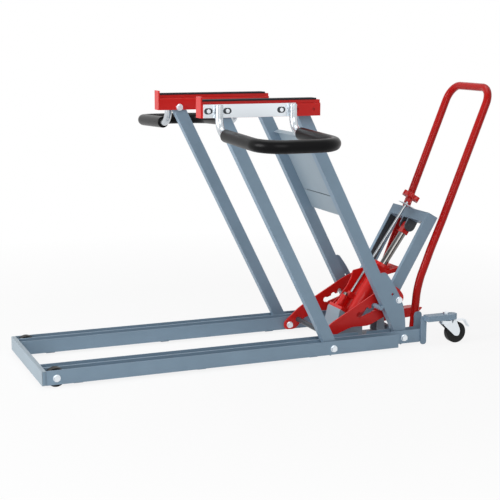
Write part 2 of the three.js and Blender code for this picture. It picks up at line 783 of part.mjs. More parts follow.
// Wheel loop: legs on the strip, bent outward, round the end and back.
const legY = stripY1 + loopTubeRadius;
const loopLine = filleted([
  vec(loopFrontX, legY, loopTop),
  vec(loopFrontX, legY, loopElbowZ),
  vec(loopFrontX, loopReach, loopElbowZ - loopDrop),
  vec(loopRearX, loopReach, loopElbowZ - loopDrop),
  vec(loopRearX, legY, loopElbowZ),
  vec(loopRearX, legY, loopTop),
], [loopBend, loopCorner, loopCorner, loopBend], bendSteps);
addPair('wheel_loop', sweep(loopLine, loopTubeRadius, coarse), zinc, 0.7, 0.35);
const foamStart = legY + loopBend + loopTubeRadius / 2;
const foamLine = filleted([
  vec(loopFrontX, foamStart, loopElbowZ - loopDrop * (foamStart - legY) / (loopReach - legY)),
  vec(loopFrontX, loopReach, loopElbowZ - loopDrop),
  vec(loopRearX, loopReach, loopElbowZ - loopDrop),
  vec(loopRearX, foamStart, loopElbowZ - loopDrop * (foamStart - legY) / (loopReach - legY)),
], [loopCorner, loopCorner], bendSteps);
addPair('loop_foam', cut(sweep(foamLine, foamRadius, coarse), [sweep(loopLine, loopTubeRadius + tidy, coarse)]),
  foamBlack, 0, 0.9);

// Lock plates with a three-notch slot.
const lockY0 = lockPlateMid - lockPlateThickness / 2;
const lockY1 = lockPlateMid + lockPlateThickness / 2;
const lockBlank = plateY(roundedOutline(lockPlateOutline, lockPlateRound), lockY0, lockY1);
const laneShape = new THREE.Shape();
const laneShoulder = slotLaneRadius * slotShoulderShare;
const laneTip = slotLaneRadius * slotEndShare;
laneShape.moveTo(slotLowLeft[0] - laneTip, slotLowLeft[1] - laneShoulder);
laneShape.lineTo(slotLowRight[0] + laneTip, slotLowRight[1] - laneShoulder);
laneShape.lineTo(slotLowRight[0] - laneTip, slotLowRight[1] + laneShoulder);
laneShape.lineTo(slotLowLeft[0] - slotLaneRadius * slotLeadShare, slotLowLeft[1] + laneShoulder);
laneShape.closePath();
const lockTools = [
  plateY(laneShape, lockY0 - lockPlateThickness, lockY1 + lockPlateThickness),
  rodY(slotLaneRadius, lockY0 - lockPlateThickness, lockY1 + lockPlateThickness, slotLowLeft[0], slotLowLeft[1]),
  rodY(slotLaneRadius, lockY0 - lockPlateThickness, lockY1 + lockPlateThickness, slotLowRight[0], slotLowRight[1]),
  rodY(pivotTubeRadius + pinPlay, lockY0 - lockPlateThickness, lockY1 + lockPlateThickness, 0, pivotHeight),
];
for (const [x, z] of slotLobes) {
  lockTools.push(rodY(slotLobeRadius, lockY0 - lockPlateThickness, lockY1 + lockPlateThickness, x, z));
}
addPair('lock_plate', cut(lockBlank, lockTools), red);
add('lock_tie', rodY(lockTieRadius, -lockY0, lockY0, lockTieX, lockTieZ), darkSteel);

// Front pivot pins run from the lock plates out through both channels.
addPair('front_pivot_pin', join([
  rodY(pivotTubeRadius, lockY0, innerFace, 0, pivotHeight),
  boltY(0, pivotHeight, lockY0, -1),
  ...pivotPin(0, innerFace, railOuterHalf, 1),
]), zinc, 0.7, 0.35);

// Jack seat: two side cheeks and an inclined plate.
const seatTop = -jackBaseDown - jackBaseThickness;
const seatPlate = box(-jackBaseBack, jackBaseLength - jackBaseBack, -cradleHalf, cradleHalf,
  seatTop - cradleThickness, seatTop);
seatPlate.applyMatrix4(jackSpace);
const seatA = vec(-jackBaseBack, 0, seatTop - cradleThickness).applyMatrix4(jackSpace);
const seatB = vec(jackBaseLength - jackBaseBack, 0, seatTop - cradleThickness).applyMatrix4(jackSpace);
const cheekLow = railBottom + railWall;
const cheekShape = roundedOutline([[seatA.x, seatA.z], [seatB.x, seatB.z],
  [seatB.x, cheekLow], [seatA.x - cradleThickness * 4, cheekLow]], 0);
const cheek = plateY(cheekShape, cradleHalf - cradleThickness, cradleHalf);
const seatNoseX = seatA.x - cradleThickness * 4;
const noseShape = roundedOutline([[seatA.x, seatA.z], [seatA.x + cradleThickness, seatA.z],
  [seatNoseX + cradleThickness, cheekLow], [seatNoseX, cheekLow]], 0);
const nose = plateY(noseShape, -cradleHalf, cradleHalf);
const seatFloor = cut(box(seatNoseX, seatB.x, -innerFace, innerFace, railBottom, cheekLow),
  [pinWindow, otherSide(pinWindow)]);
const seat = [seatPlate, cheek, otherSide(cheek), nose, seatFloor];

// Jack body in its own frame, Z up the ram.
function inJack(geometry) {
  const g = geometry.clone();
  g.applyMatrix4(jackSpace);
  return g;
}
const basePlate = box(-jackBaseBack, jackBaseLength - jackBaseBack, -jackBaseWidth / 2,
  jackBaseWidth / 2, seatTop, seatTop + jackBaseThickness);
const sidePlate = plateY(roundedOutline(jackSideOutline, cradleThickness), jackSideNear,
  jackSideNear + jackSideThickness);
add('jack_base', inJack(join([basePlate, sidePlate])), red);
const bodyLow = -jackBaseDown;
const bodyHigh = bodyLow + jackBodyLength;
const valveBlock = box(-valveFront, -jackBodyRadius / 2, -valveHalf, valveHalf, -valveDown - valveHeight,
  -valveDown);
const boreTool = rodZ(ramRadius + pinPlay, bodyLow + boreFloor, bodyHigh + boreFloor, 0, 0, fine);
const bodyOuter = rodZ(jackBodyRadius, bodyLow, bodyHigh, 0, 0, bodyFacets);
add('jack_body', inJack(cut(join([bodyOuter, valveBlock]), [boreTool])), red);

const pumpTube = rodZ(pumpRadius, bodyLow, -pumpHigh, -pumpOffset, 0, fine);
const pumpBore = rodZ(plungerRadius + pinPlay, bodyLow + pumpFloor, -pumpHigh + pumpFloor, -pumpOffset, 0, fine);
const pumpFoot = box(-jackBaseBack, -jackBodyRadius - tidy, -pumpRadius, pumpRadius, bodyLow, bodyLow + pumpFloor);
add('pump_cylinder', inJack(cut(join([pumpTube, pumpFoot]), [pumpBore])), red);
add('pump_plunger', inJack(rodZ(plungerRadius, bodyLow + pumpFloor + plungerStroke, -plungerHigh,
  -pumpOffset, 0, fine)), chrome, 0.9, 0.2);

// Ram, with a clevis head that stands between the portal lugs.
const ramLow = bodyLow + boreFloor + ramStroke;
add('jack_ram', inJack(rodZ(ramRadius, ramLow, -clevisLength, 0, 0, fine)), chrome, 0.9, 0.2);
const clevisBlock = join([
  box(-clevisRadius, clevisRadius, -clevisRadius, clevisRadius, -clevisLength, 0),
  rodY(clevisRadius, -clevisRadius, clevisRadius, 0, 0, fine),
]);
const clevis = cut(clevisBlock, [rodY(pinRadius + pinPlay, -clevisRadius * 2, clevisRadius * 2, 0, 0)]);
add('ram_clevis', inJack(clevis), red);

// Folded collar round the top of the jack body; its rear leaf rises to the level.
const collar = cut(plateY(roundedOutline(collarOutline, 0), -collarHalf, collarHalf),
  [rodZ(jackBodyRadius + tidy, bodyLow, bodyHigh + collarHalf, 0, 0, bodyFacets)]);
add('jack_collar', inJack(collar), red);

// Release rod and its lobed knob.
const rodX = -rodOffset;
const rodGeometry = rodZ(rodRadius, -valveDown + seatGap, knobUp, rodX, 0, coarse);
add('release_rod', inJack(rodGeometry), chrome, 0.8, 0.3);
const knobShape = new THREE.Shape();
const knobSteps = knobLobes * knobLobeSteps;
for (let i = 0; i < knobSteps; i += 1) {
  const turn = i / knobSteps * 2 * Math.PI;
  const r = knobRadius * (1 - knobLobeShare + knobLobeShare * Math.cos(knobLobes * turn));
  if (i === 0) {
    knobShape.moveTo(rodX + r * Math.cos(turn), r * Math.sin(turn));
  } else {
    knobShape.lineTo(rodX + r * Math.cos(turn), r * Math.sin(turn));
  }
}
knobShape.closePath();
const knobDisc = new THREE.ExtrudeGeometry(knobShape, { depth: knobThickness, bevelEnabled: false });
knobDisc.translate(0, 0, knobUp);
const knobHub = rodZ(rodRadius * knobHubShare, knobUp - knobThickness, knobUp + tidy, rodX, 0, coarse);
add('release_knob', inJack(cut(join([knobDisc, knobHub]), [rodZ(rodRadius + pinPlay / 2,
  knobUp - knobThickness * 2, knobUp + tidy, rodX, 0, coarse)])), red);

// Portal: two legs and a beam, seen from the side along the line of its pins.
const legLine = vec(jackTopX - portalPin.x, 0, jackTopZ - portalPin.z);
const legUp = legLine.clone().normalize();
const legBack = vec(legUp.z, 0, -legUp.x);
const portalSpace = new THREE.Matrix4().makeBasis(legBack, vec(0, 1, 0), legUp);
portalSpace.setPosition(jackTopX, 0, jackTopZ);
const legReach = legLine.length();
const legHalf = portalLegWidth / 2;
const legOutline = new THREE.Shape();
legOutline.moveTo(-legHalf, portalBeamHigh);
legOutline.lineTo(-legHalf, -legReach);
legOutline.absarc(0, -legReach, portalFootRound, Math.PI, 2 * Math.PI, false);
legOutline.lineTo(legHalf, portalBeamHigh);
legOutline.closePath();
const leg = plateY(legOutline, portalHalf - portalLegDepth, portalHalf, 8);
const beam = box(-legHalf, legHalf, -portalHalf + portalLegDepth / 2, portalHalf - portalLegDepth / 2,
  portalBeamLow, portalBeamHigh);
const portalFrame = join([leg, otherSide(leg), beam]);
portalFrame.applyMatrix4(portalSpace);

const lugOutline = new THREE.Shape();
lugOutline.moveTo(lugRadius, portalBeamLow);
lugOutline.lineTo(lugRadius, 0);
lugOutline.absarc(0, 0, lugRadius, 0, -Math.PI, true);
lugOutline.lineTo(-lugRadius, portalBeamLow);
lugOutline.closePath();
const lugPlate = plateY(lugOutline, lugInner, lugInner + lugThickness, 8);
lugPlate.applyMatrix4(portalSpace);

// Tab on the beam, with a slot that guides the release rod while the portal swings.
const tabZ = portalBeamHigh + seatGap + tabThickness;
const tab = cut(box(-tabReach, 0, -tabHalf, tabHalf, portalBeamHigh + seatGap, tabZ), [
  box(-tabReach + tabThickness * 2, -tabSlotNear, -tabSlotHalf, tabSlotHalf, portalBeamLow, tabZ + tabThickness),
]);
tab.applyMatrix4(portalSpace);
add('rod_tab', tab, zinc, 0.7, 0.35);
const topPin = rodY(pinRadius, -lugInner - lugThickness - washerHeight, lugInner + lugThickness + washerHeight,
  jackTopX, jackTopZ);
add('portal', join([portalFrame, lugPlate, otherSide(lugPlate), topPin]), steelBlue);

// Foot pedal: a short channel turning on a pivot behind the jack base.
const pedalAngle = Math.atan2(pedalTipZ - pedalPivotZ, pedalTipX - pedalPivotX);
const pedalLength = Math.hypot(pedalTipX - pedalPivotX, pedalTipZ - pedalPivotZ);
const pedalOutline = roundedOutline([[-pedalHeight / 2, -pedalHeight / 2], [pedalLength, -pedalHeight / 2],
  [pedalLength + pedalHeight, pedalHeight * 0.35], [pedalLength, pedalHeight / 2],
  [-pedalHeight / 2, pedalHeight / 2]], pedalHeight / 5);
const pedalOuter = plateY(pedalOutline, -pedalHalf, pedalHalf);
const pedalHollow = box(-pedalHeight, pedalLength * 2, -pedalHalf + pedalWall, pedalHalf - pedalWall,
  -pedalHeight, pedalHeight / 2 - pedalWall);
const pedal = cut(pedalOuter, [pedalHollow, rodY(pinRadius + pinPlay, -pedalHalf * 2, pedalHalf * 2, 0, 0)]);
pedal.rotateY(-pedalAngle);
pedal.translate(pedalPivotX, 0, pedalPivotZ);
add('foot_pedal', pedal, red);

// Lug with the pedal pin, welded to the seat floor.
const pedalLugInner = pedalHalf + tidy * 3;
const pedalLug = plateY(roundedOutline([[pedalPivotX - pedalHeight / 2, railBottom + railWall],
  [pedalPivotX + pedalHeight / 2, railBottom + railWall], [pedalPivotX + pedalHeight / 3, pedalPivotZ + pedalHeight / 3],
  [pedalPivotX - pedalHeight / 3, pedalPivotZ + pedalHeight / 3]], pedalHeight / 6),
pedalLugInner, pedalLugInner + cradleThickness);
const pedalFloor = box(seatB.x, innerLaneRear - crossTubeRadius * 3, -pedalLugInner - cradleThickness,
  pedalLugInner + cradleThickness, railBottom, railBottom + railWall);
const pedalPin = rodY(pinRadius, -pedalLugInner - tidy, pedalLugInner + tidy, pedalPivotX, pedalPivotZ);
add('jack_seat', join([...seat, pedalLug, otherSide(pedalLug), pedalFloor, pedalPin]), paleSteel);

// Push handle.
const handlePoints = handleLine.map(([x, z]) => vec(x, handleHalf, z));
const cornerSteps = bendSteps;
for (let i = 0; i <= cornerSteps; i += 1) {
  const turn = i / cornerSteps * Math.PI / 2;
  const lift = handleTop - handleCorner;
  handlePoints.push(vec(handleTopX, handleHalf - handleCorner * (1 - Math.cos(turn)),
    lift + handleCorner * Math.sin(turn)));
}
const mirroredPoints = handlePoints.map((p) => vec(p.x, -p.y, p.z)).reverse();
add('push_handle', sweep([...handlePoints, ...mirroredPoints], handleTubeRadius, coarse), red);

// End posts and caster bars, welded together.
const postShape = roundedOutline([[postX, 0], [postX + postWidth, 0], [postX + postWidth, postTop],
  [postX, postTop]], postWidth / 2.2);
const post = plateY(postShape, postMid - postThickness / 2, postMid + postThickness / 2);

const barEnd = casterBarEnd - casterBarWidth / 2;
const casterBarY0 = casterBarMid - casterBarWidth / 2;
const casterBarY1 = casterBarMid + casterBarWidth / 2;
const casterBar = cut(join([
  box(postX + postWidth / 2, barEnd, casterBarY0, casterBarY1, casterBarLow, casterBarLow + casterBarHeight),
  rodZ(casterBarWidth / 2, casterBarLow, casterBarLow + casterBarHeight, barEnd, casterBarMid, fine),
]), [rodZ(pinRadius + pinPlay, casterBarLow - pinRadius, casterBarLow + casterBarHeight * 2, casterPivotX,
  casterBarMid)]);
addPair('caster_arm', join([post, casterBar]), steelBlue);

// Casters: built trailing along +X; the one on the far side stands turned forwards.
function addCaster(name, geometry, color, metalness, roughness) {
  const turned = geometry.clone();
  turned.translate(-casterPivotX, -casterBarMid, 0);
  turned.rotateZ(farCasterTurn * rad);
  turned.translate(casterPivotX, casterBarMid, 0);
  add(`${name}_right`, turned, color, metalness, roughness);
  add(`${name}_left`, otherSide(geometry), color, metalness, roughness);
}
const barTopZ = casterBarLow + casterBarHeight;
const kingPin = join([
  rodZ(pinRadius, casterBarLow - casterHeadHeight, barTopZ + tidy, casterPivotX, casterBarMid),
  rodZ(boltHeadRadius, barTopZ + tidy, barTopZ + boltHeadHeight, casterPivotX, casterBarMid, boltFacets),
]);
const headTop = casterBarLow - tidy * 3;
const head = rodZ(casterPlateRadius, headTop - casterHeadHeight, headTop, casterPivotX, casterBarMid, fine);
const wheelX = casterPivotX + wheelTrail;
const forkInner = wheelWidth / 2 + forkGap;
const forkShape = roundedOutline([
  [casterPivotX - casterPlateRadius * 0.8, headTop - casterHeadHeight],
  [casterPivotX + brakePivotBack - forkLugHalf, headTop - casterHeadHeight],
  [casterPivotX + brakePivotBack - forkLugHalf, forkLugTop],
  [casterPivotX + brakePivotBack + forkLugHalf, forkLugTop],
  [wheelX + pinRadius * 1.6, wheelRadius + pinRadius], [wheelX + pinRadius, wheelRadius - pinRadius * 1.4],
  [wheelX - pinRadius, wheelRadius - pinRadius * 1.4]], pinRadius);
const brakePivotX = casterPivotX + brakePivotBack;
const forkPlate = cut(plateY(forkShape, casterBarMid + forkInner, casterBarMid + forkInner + forkThickness),
  [rodY(brakePinRadius + tidy / 2, casterBarMid, casterBarMid + forkInner * 2, brakePivotX, brakePivotZ, coarse)]);
const forkOther = forkPlate.clone();
forkOther.translate(0, -forkInner * 2 - forkThickness, 0);
const axle = rodY(pinRadius * 0.75, casterBarMid - forkInner - forkThickness, casterBarMid + forkInner + forkThickness,
  wheelX, wheelRadius);
addCaster('caster_fork', join([kingPin, head, forkPlate, forkOther, axle]), zinc, 0.7, 0.35);

const wheelProfile = [
  [pinRadius * 0.75 + pinPlay, -wheelWidth / 2], [wheelRadius - tyreEdge, -wheelWidth / 2],
  [wheelRadius, -wheelWidth / 2 + tyreEdge], [wheelRadius, wheelWidth / 2 - tyreEdge],
  [wheelRadius - tyreEdge, wheelWidth / 2], [pinRadius * 0.75 + pinPlay, wheelWidth / 2],
  [pinRadius * 0.75 + pinPlay, -wheelWidth / 2],
].map(([r, y]) => new THREE.Vector2(r, y));
const casterWheel = new THREE.LatheGeometry(wheelProfile, fine * 1.5);
casterWheel.translate(wheelX, casterBarMid, wheelRadius);
addCaster('caster_wheel', casterWheel, tyre);

const leverX0 = casterPivotX + casterPlateRadius + tidy * 3;
const leverX1 = wheelX + wheelRadius;
const leverZ = wheelRadius * 2 + forkThickness;
const leverDrop = brakeReach / 2;
const brakeShape = roundedOutline([
  [leverX0, leverZ], [leverX1 - forkThickness, leverZ],
  [casterPivotX + casterPlateRadius + brakeReach + leverDrop / 2, leverZ - leverDrop],
  [casterPivotX + casterPlateRadius + brakeReach + leverDrop / 2 + forkThickness, leverZ - leverDrop + forkThickness],
  [leverX1, leverZ + forkThickness], [leverX0, leverZ + forkThickness]], forkThickness / 3);
const brakePin = rodY(brakePinRadius, casterBarMid - forkInner - forkThickness,
  casterBarMid + forkInner + forkThickness, brakePivotX, brakePivotZ, coarse);
addCaster('brake_lever', join([
  plateY(brakeShape, casterBarMid - brakeWidth / 2, casterBarMid + brakeWidth / 2), brakePin,
]), darkSteel);

export default group;
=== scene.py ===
"""Mower lift: paints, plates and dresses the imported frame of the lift.

Two low base rails carry four leaning arms, two padded platform rails, a foot-pumped jack with its
portal and lock plates, and a push handle. Lengths are in metres, X runs towards the handle.
"""

import json
import math

import bpy
from bpy.props import FloatProperty, FloatVectorProperty, IntProperty
from mathutils import Matrix, Vector

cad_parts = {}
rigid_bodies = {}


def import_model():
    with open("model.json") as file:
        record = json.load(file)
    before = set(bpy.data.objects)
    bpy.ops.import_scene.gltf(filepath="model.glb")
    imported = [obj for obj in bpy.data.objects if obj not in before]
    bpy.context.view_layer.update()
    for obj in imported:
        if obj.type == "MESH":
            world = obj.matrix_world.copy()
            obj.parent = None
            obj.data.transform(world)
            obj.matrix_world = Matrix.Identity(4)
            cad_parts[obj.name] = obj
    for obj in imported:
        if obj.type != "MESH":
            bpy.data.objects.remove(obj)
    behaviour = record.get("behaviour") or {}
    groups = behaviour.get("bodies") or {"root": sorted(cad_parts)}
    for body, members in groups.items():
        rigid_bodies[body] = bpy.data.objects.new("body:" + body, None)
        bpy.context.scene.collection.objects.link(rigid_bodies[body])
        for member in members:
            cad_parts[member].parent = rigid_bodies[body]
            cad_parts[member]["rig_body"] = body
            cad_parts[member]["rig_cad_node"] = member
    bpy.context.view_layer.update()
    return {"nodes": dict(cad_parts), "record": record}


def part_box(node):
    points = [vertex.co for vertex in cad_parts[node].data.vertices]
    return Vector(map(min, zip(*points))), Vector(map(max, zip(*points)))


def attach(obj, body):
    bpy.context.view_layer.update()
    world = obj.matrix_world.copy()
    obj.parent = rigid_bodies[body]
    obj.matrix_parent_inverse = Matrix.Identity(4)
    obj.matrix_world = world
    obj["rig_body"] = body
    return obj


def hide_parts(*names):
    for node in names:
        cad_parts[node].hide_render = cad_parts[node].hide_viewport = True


bl_info = {
    "name": "Mower lift",
    "version": (1, 0, 0),
    "blender": (4, 5, 0),
    "location": "3D view > Sidebar > Lift",
    "description": "Dresses the frame of a mower lift with paint, zinc, foam and rubber",
    "category": "Object",
}

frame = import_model()
MM = 0.001
# Points closer than this are one point, in drawn pieces and in copies of the CAD solids.
WELD = 0.01 * MM
CAD_WELD = 0.02 * MM
# Angles in degrees: facets of one flat face, an edge to round, a tube end, a smooth shade.
FLAT_ANGLE = 0.5
EDGE_ANGLE = 50
TUBE_END_ANGLE = 60
SMOOTH_ANGLE = 38
# Cosine above which a face counts as looking along a direction.
FACES_ALONG = 0.9
# Edges of a rectangular tube that are longer than this get the tube's corner radius.
LONG_EDGE = 300 * MM
# Turn of each step round the bend of a tube, in degrees.
TURN_STEP = 9
# Turn below which two straights of a tube count as one, in radians.
STRAIGHT = 0.0005
# Rounding of the edges of a wheel's tread.
TREAD_EDGE = 3 * MM
SIDES = ("left", "right")
SIDE_SIGN = {"left": -1, "right": 1}
BODY_OF = {
    node: body
    for body, members in frame["record"]["behaviour"]["bodies"].items()
    for node in members
}
SLOT_OF = {part["node"]: part["material_slot"] for part in frame["record"]["subparts"]}


def linear(hex_colour):
    """sRGB hex value to the linear colour that a shader takes."""
    channels = [(hex_colour >> shift & 255) / 255 for shift in (16, 8, 0)]
    return tuple(
        c / 12.92 if c <= 0.04045 else ((c + 0.055) / 1.055) ** 2.4 for c in channels
    )


# Sizes and colours that a user would change.


class LiftSizes(bpy.types.PropertyGroup):
    edge_round: FloatProperty(
        name="Edge rounding",
        description="Rounding of the cut edges of plate and cast parts",
        default=0.9 * MM,
        min=0.1 * MM,
        max=3 * MM,
        unit="LENGTH",
    )
    tube_round: FloatProperty(
        name="Tube corner",
        description="Outer corner radius of the rectangular tube",
        default=3.2 * MM,
        min=1 * MM,
        max=6 * MM,
        unit="LENGTH",
    )
    tube_sides: IntProperty(
        name="Facets round a tube",
        description="Facets of the bent tubes and foam sleeves",
        default=32,
        min=12,
        max=64,
    )
    wheel_facets: IntProperty(
        name="Facets round a wheel",
        description="Facets of the casters and the rollers",
        default=64,
        min=24,
        max=96,
    )


def colour_property(name, description, hex_colour):
    """Colour that a user can change, from its sRGB hex value."""
    return FloatVectorProperty(
        name=name,
        description=description,
        subtype="COLOR",
        size=3,
        min=0,
        max=1,
        default=linear(hex_colour),
    )


class LiftColours(bpy.types.PropertyGroup):
    blue_steel: colour_property("Blue-grey paint", "Rails, arms and portal", 0x869DB0)
    pale_steel: colour_property("Pale grey paint", "Front bar, cross plate and seat", 0x93A3AE)
    red: colour_property("Red paint", "Platform rails and jack", 0xD21B17)
    # The handle's paint is the same red as the platform; this darker copy of it is painted shade
    # on the round tube.
    handle_red_painted_shade: colour_property("Gloss red paint", "Push handle", 0xB40E0A)
    zinc: colour_property("Zinc plate", "Bolts, strips, forks and brakes", 0xE4EAEF)
    # The loops are the same zinc as the strips; this darker copy is painted shade against the
    # lamps on the round tube.
    loop_zinc_painted_shade: colour_property("Bright zinc plate", "Wheel loops", 0xC6CCD1)
    # This colour is far darker than real chrome: painted dark reflection on the ram and plunger.
    chrome: colour_property("Hard chrome", "Ram and plunger", 0x7A7876)
    # The release rod is chrome; this colour, darker than real chrome, is painted shade against the
    # lamps on the thin rod.
    rod_metal_painted_shade: colour_property("Drawn steel", "Release rod", 0x9EA2A6)
    foam: colour_property("Foam", "Sleeves of the wheel loops", 0x08080A)
    pad: colour_property("Pad rubber", "Pads on the platform rails", 0x222428)
    tyre: colour_property("Wheel rubber", "Casters and rollers", 0x151617)
    hub: colour_property("Wheel hub", "Moulded hubs of casters and rollers", 0x8C9094)
    # This black is also painted shade: on the portal's lugs and leg channels, on the plates in the
    # strip slots and on the lip behind the cross plate's slit.
    dark_steel: colour_property("Black paint", "Lugs and leg channels of the portal", 0x363D43)
    floor: colour_property("Floor", "Studio floor", 0xF4F4F4)


# Materials.


def add_node(tree, kind, settings=None, inputs=None, links=None):
    """One shader node with its settings, its input values and the sockets that feed it."""
    made = tree.nodes.new(kind)
    for name, value in (settings or {}).items():
        setattr(made, name, value)
    for name, value in (inputs or {}).items():
        made.inputs[name].default_value = value
    for name, (source, output) in (links or {}).items():
        tree.links.new(source.outputs[output], made.inputs[name])
    return made


def start_material(name):
    """Empty material with its node tree and the coordinates that its patterns lie in."""
    material = bpy.data.materials.new(name)
    material.use_nodes = True
    tree = material.node_tree
    tree.nodes.clear()
    place = add_node(tree, "ShaderNodeTexCoord")
    return material, tree, place


def end_material(tree, place, shader_inputs, links, grain=None):
    """Principled shader on the output; grain is the size, detail, strength and depth of a bump."""
    links = dict(links)
    if grain:
        size, detail, strength, depth = grain
        cells = add_node(
            tree,
            "ShaderNodeTexNoise",
            inputs={"Scale": 1 / size, "Detail": detail},
            links={"Vector": (place, "Object")},
        )
        relief = add_node(
            tree,
            "ShaderNodeBump",
            inputs={"Strength": strength, "Distance": depth},
            links={"Height": (cells, "Fac")},
        )
        links["Normal"] = (relief, "Normal")
    shader = add_node(tree, "ShaderNodeBsdfPrincipled", inputs=shader_inputs, links=links)
    add_node(tree, "ShaderNodeOutputMaterial", links={"Surface": (shader, "BSDF")})


def powder_coat(name, colour, roughness, clear=0.0, shine=0.5, peel=0.03):
    """Baked polyester powder on steel: even colour, soft sheen, a fine orange-peel surface.

    clear is the weight of a lacquer over it, shine the level of its sheen and peel the strength
    of the orange peel.
    """
    material, tree, place = start_material(name)
    # Dust and handling shift the colour a little over about 80 mm.
    clouds = add_node(
        tree,
        "ShaderNodeTexNoise",
        inputs={"Scale": 1 / (80 * MM), "Detail": 2.0},
        links={"Vector": (place, "Object")},
    )
    tint = add_node(
        tree,
        "ShaderNodeMapRange",
        inputs={"From Min": 0.3, "From Max": 0.7, "To Min": 0.97, "To Max": 1.03},
        links={"Value": (clouds, "Fac")},
    )
    shade = add_node(
        tree,
        "ShaderNodeHueSaturation",
        inputs={"Color": (*colour, 1)},
        links={"Value": (tint, "Result")},
    )
    end_material(
        tree,
        place,
        {
            "Roughness": roughness,
            "Coat Weight": clear,
            "Coat Roughness": 0.1,
            "IOR": 1.5,
            "Specular IOR Level": shine,
        },
        {"Base Color": (shade, "Color")},
        # Orange peel is about 2 mm across; drawn at 4 mm so that it shows.
        grain=(4 * MM, 1.0, peel, 0.1 * MM),
    )
    return material


def plated_steel(name, colour, roughness, spread):
    """Bright zinc or chrome on drawn steel: metallic, with a slightly uneven gloss."""
    material, tree, place = start_material(name)
    # The plate's crystals are under 1 mm; drawn at 6 mm so that they show.
    crystals = add_node(
        tree,
        "ShaderNodeTexNoise",
        inputs={"Scale": 1 / (6 * MM), "Detail": 3.0},
        links={"Vector": (place, "Object")},
    )
    gloss = add_node(
        tree,
        "ShaderNodeMapRange",
        inputs={"To Min": roughness - spread, "To Max": roughness + spread},
        links={"Value": (crystals, "Fac")},
    )
    end_material(
        tree,
        place,
        {"Base Color": (*colour, 1), "Metallic": 1.0},
        {"Roughness": (gloss, "Result")},
    )
    return material


def foam_skin(name, colour):
    """Closed-cell nitrile foam: a matt skin with fine pits and a faint sheen."""
    material, tree, place = start_material(name)
    end_material(
        tree,
        place,
        {"Base Color": (*colour, 1), "Roughness": 0.3, "Specular IOR Level": 0.11},
        {},
        # Cells are under 1 mm; drawn at 3 mm so that they show.
        grain=(3 * MM, 2.0, 0.12, 0.4 * MM),
    )
    return material


def moulded_rubber(name, colour, roughness):
    """Moulded rubber: deep grey, matt, with the mould's light grain."""
    material, tree, place = start_material(name)
    end_material(
        tree,
        place,
        {"Base Color": (*colour, 1), "Roughness": roughness, "Specular IOR Level": 0.22},
        {},
        grain=(2.5 * MM, 1.0, 0.08, 0.2 * MM),
    )
    return material


def make_finishes(colours):
    """Materials by the record's slot names, with finer ones for single pieces."""
    return {
        "steel_blue": powder_coat("blue_powder_coat", colours.blue_steel, 0.42, shine=0.32),
        "pale_steel": powder_coat("pale_powder_coat", colours.pale_steel, 0.42),
        "red_paint": powder_coat("red_powder_coat", colours.red, 0.34, clear=0.12, shine=0.28),
        # Darker copy of the red as painted shade on the handle, with a lower roughness.
        "handle_red_painted_shade": powder_coat(
            "red_gloss_painted_shade", colours.handle_red_painted_shade, 0.2, shine=0.16, peel=0.003
        ),
        # The black coat is also painted shade on the portal, in the strip slots and behind the
        # slit.
        "dark_steel": powder_coat("black_coat_and_painted_shade", colours.dark_steel, 0.4),
        "zinc": plated_steel("zinc_plate", colours.zinc, 0.34, 0.07),
        # Darker copy of the zinc as painted shade on the loops, with a lower roughness.
        "loop_zinc": plated_steel("loop_zinc_painted_shade_plate", colours.loop_zinc_painted_shade, 0.26, 0.0),
        # Darker copy of the bright metal as painted shade on the release rod.
        "rod_metal_painted_shade": plated_steel("rod_metal_painted_shade", colours.rod_metal_painted_shade, 0.24, 0.04),
        # Chrome darkened as painted dark reflection.
        "chrome": plated_steel("hard_chrome_painted_reflection", colours.chrome, 0.16, 0.03),
        "foam": foam_skin("nitrile_foam", colours.foam),
        "pad_rubber": moulded_rubber("pad_rubber", colours.pad, 0.75),
        "tyre": moulded_rubber("wheel_rubber", colours.tyre, 0.5),
        "hub": moulded_rubber("moulded_hub", colours.hub, 0.45),
    }


FINISHES = {}


def finish_for(slot):
    """Material of a slot; all are made at the first call."""
    if not FINISHES:
        FINISHES.update(make_finishes(bpy.context.scene.lift_colours))
    return FINISHES[slot]


# Modelling helpers.


def clear_selection():
    """Object mode with nothing selected."""
    if bpy.context.object and bpy.context.object.mode != "OBJECT":
        bpy.ops.object.mode_set(mode="OBJECT")
    bpy.ops.object.select_all(action="DESELECT")


def take(piece):
    """Makes a piece the only selected and the active one."""
    clear_selection()
    piece.select_set(True)
    bpy.context.view_layer.objects.active = piece


def place_in_mesh(piece):
    """Moves a piece's place and turn into its points, so that it stands at the origin."""
    take(piece)
    bpy.ops.object.transform_apply(location=True, rotation=True, scale=True)


def close_shell():
    """Merges doubles and turns every face outwards; edit mode."""
    bpy.ops.mesh.select_all(action="SELECT")
    bpy.ops.mesh.remove_doubles(threshold=WELD)
    bpy.ops.mesh.normals_make_consistent(inside=False)


def apply_bevel(piece, width, segments=2, angle=EDGE_ANGLE):
    """Rounds the edges that are sharper than an angle."""
    bevel = piece.modifiers.new("edge", "BEVEL")
    bevel.width = width
    bevel.segments = segments
    bevel.limit_method = "ANGLE"
    bevel.angle_limit = math.radians(angle)
    take(piece)
    bpy.ops.object.modifier_apply(modifier=bevel.name)


def hand_over(piece, name, body, slot, nodes):
    """Names, paints and seats a finished piece on its body, and lets it stand for CAD nodes."""
    piece.name = name
    piece.data.name = name
    take(piece)
    bpy.ops.object.shade_smooth_by_angle(angle=math.radians(SMOOTH_ANGLE))
    # The wide faces keep their own normal, so that the rounded edges don't shade across them.
    level = piece.modifiers.new("level_faces", "WEIGHTED_NORMAL")
    level.keep_sharp = True
    bpy.ops.object.modifier_apply(modifier=level.name)
    if slot:
        piece.data.materials.clear()
        piece.data.materials.append(finish_for(slot))
    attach(piece, body)
    if nodes:
        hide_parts(*nodes)
    clear_selection()
    return piece


def repaint(piece, slot):
    """Gives a finished piece another finish than that of its slot."""
    piece.data.materials[0] = finish_for(slot)


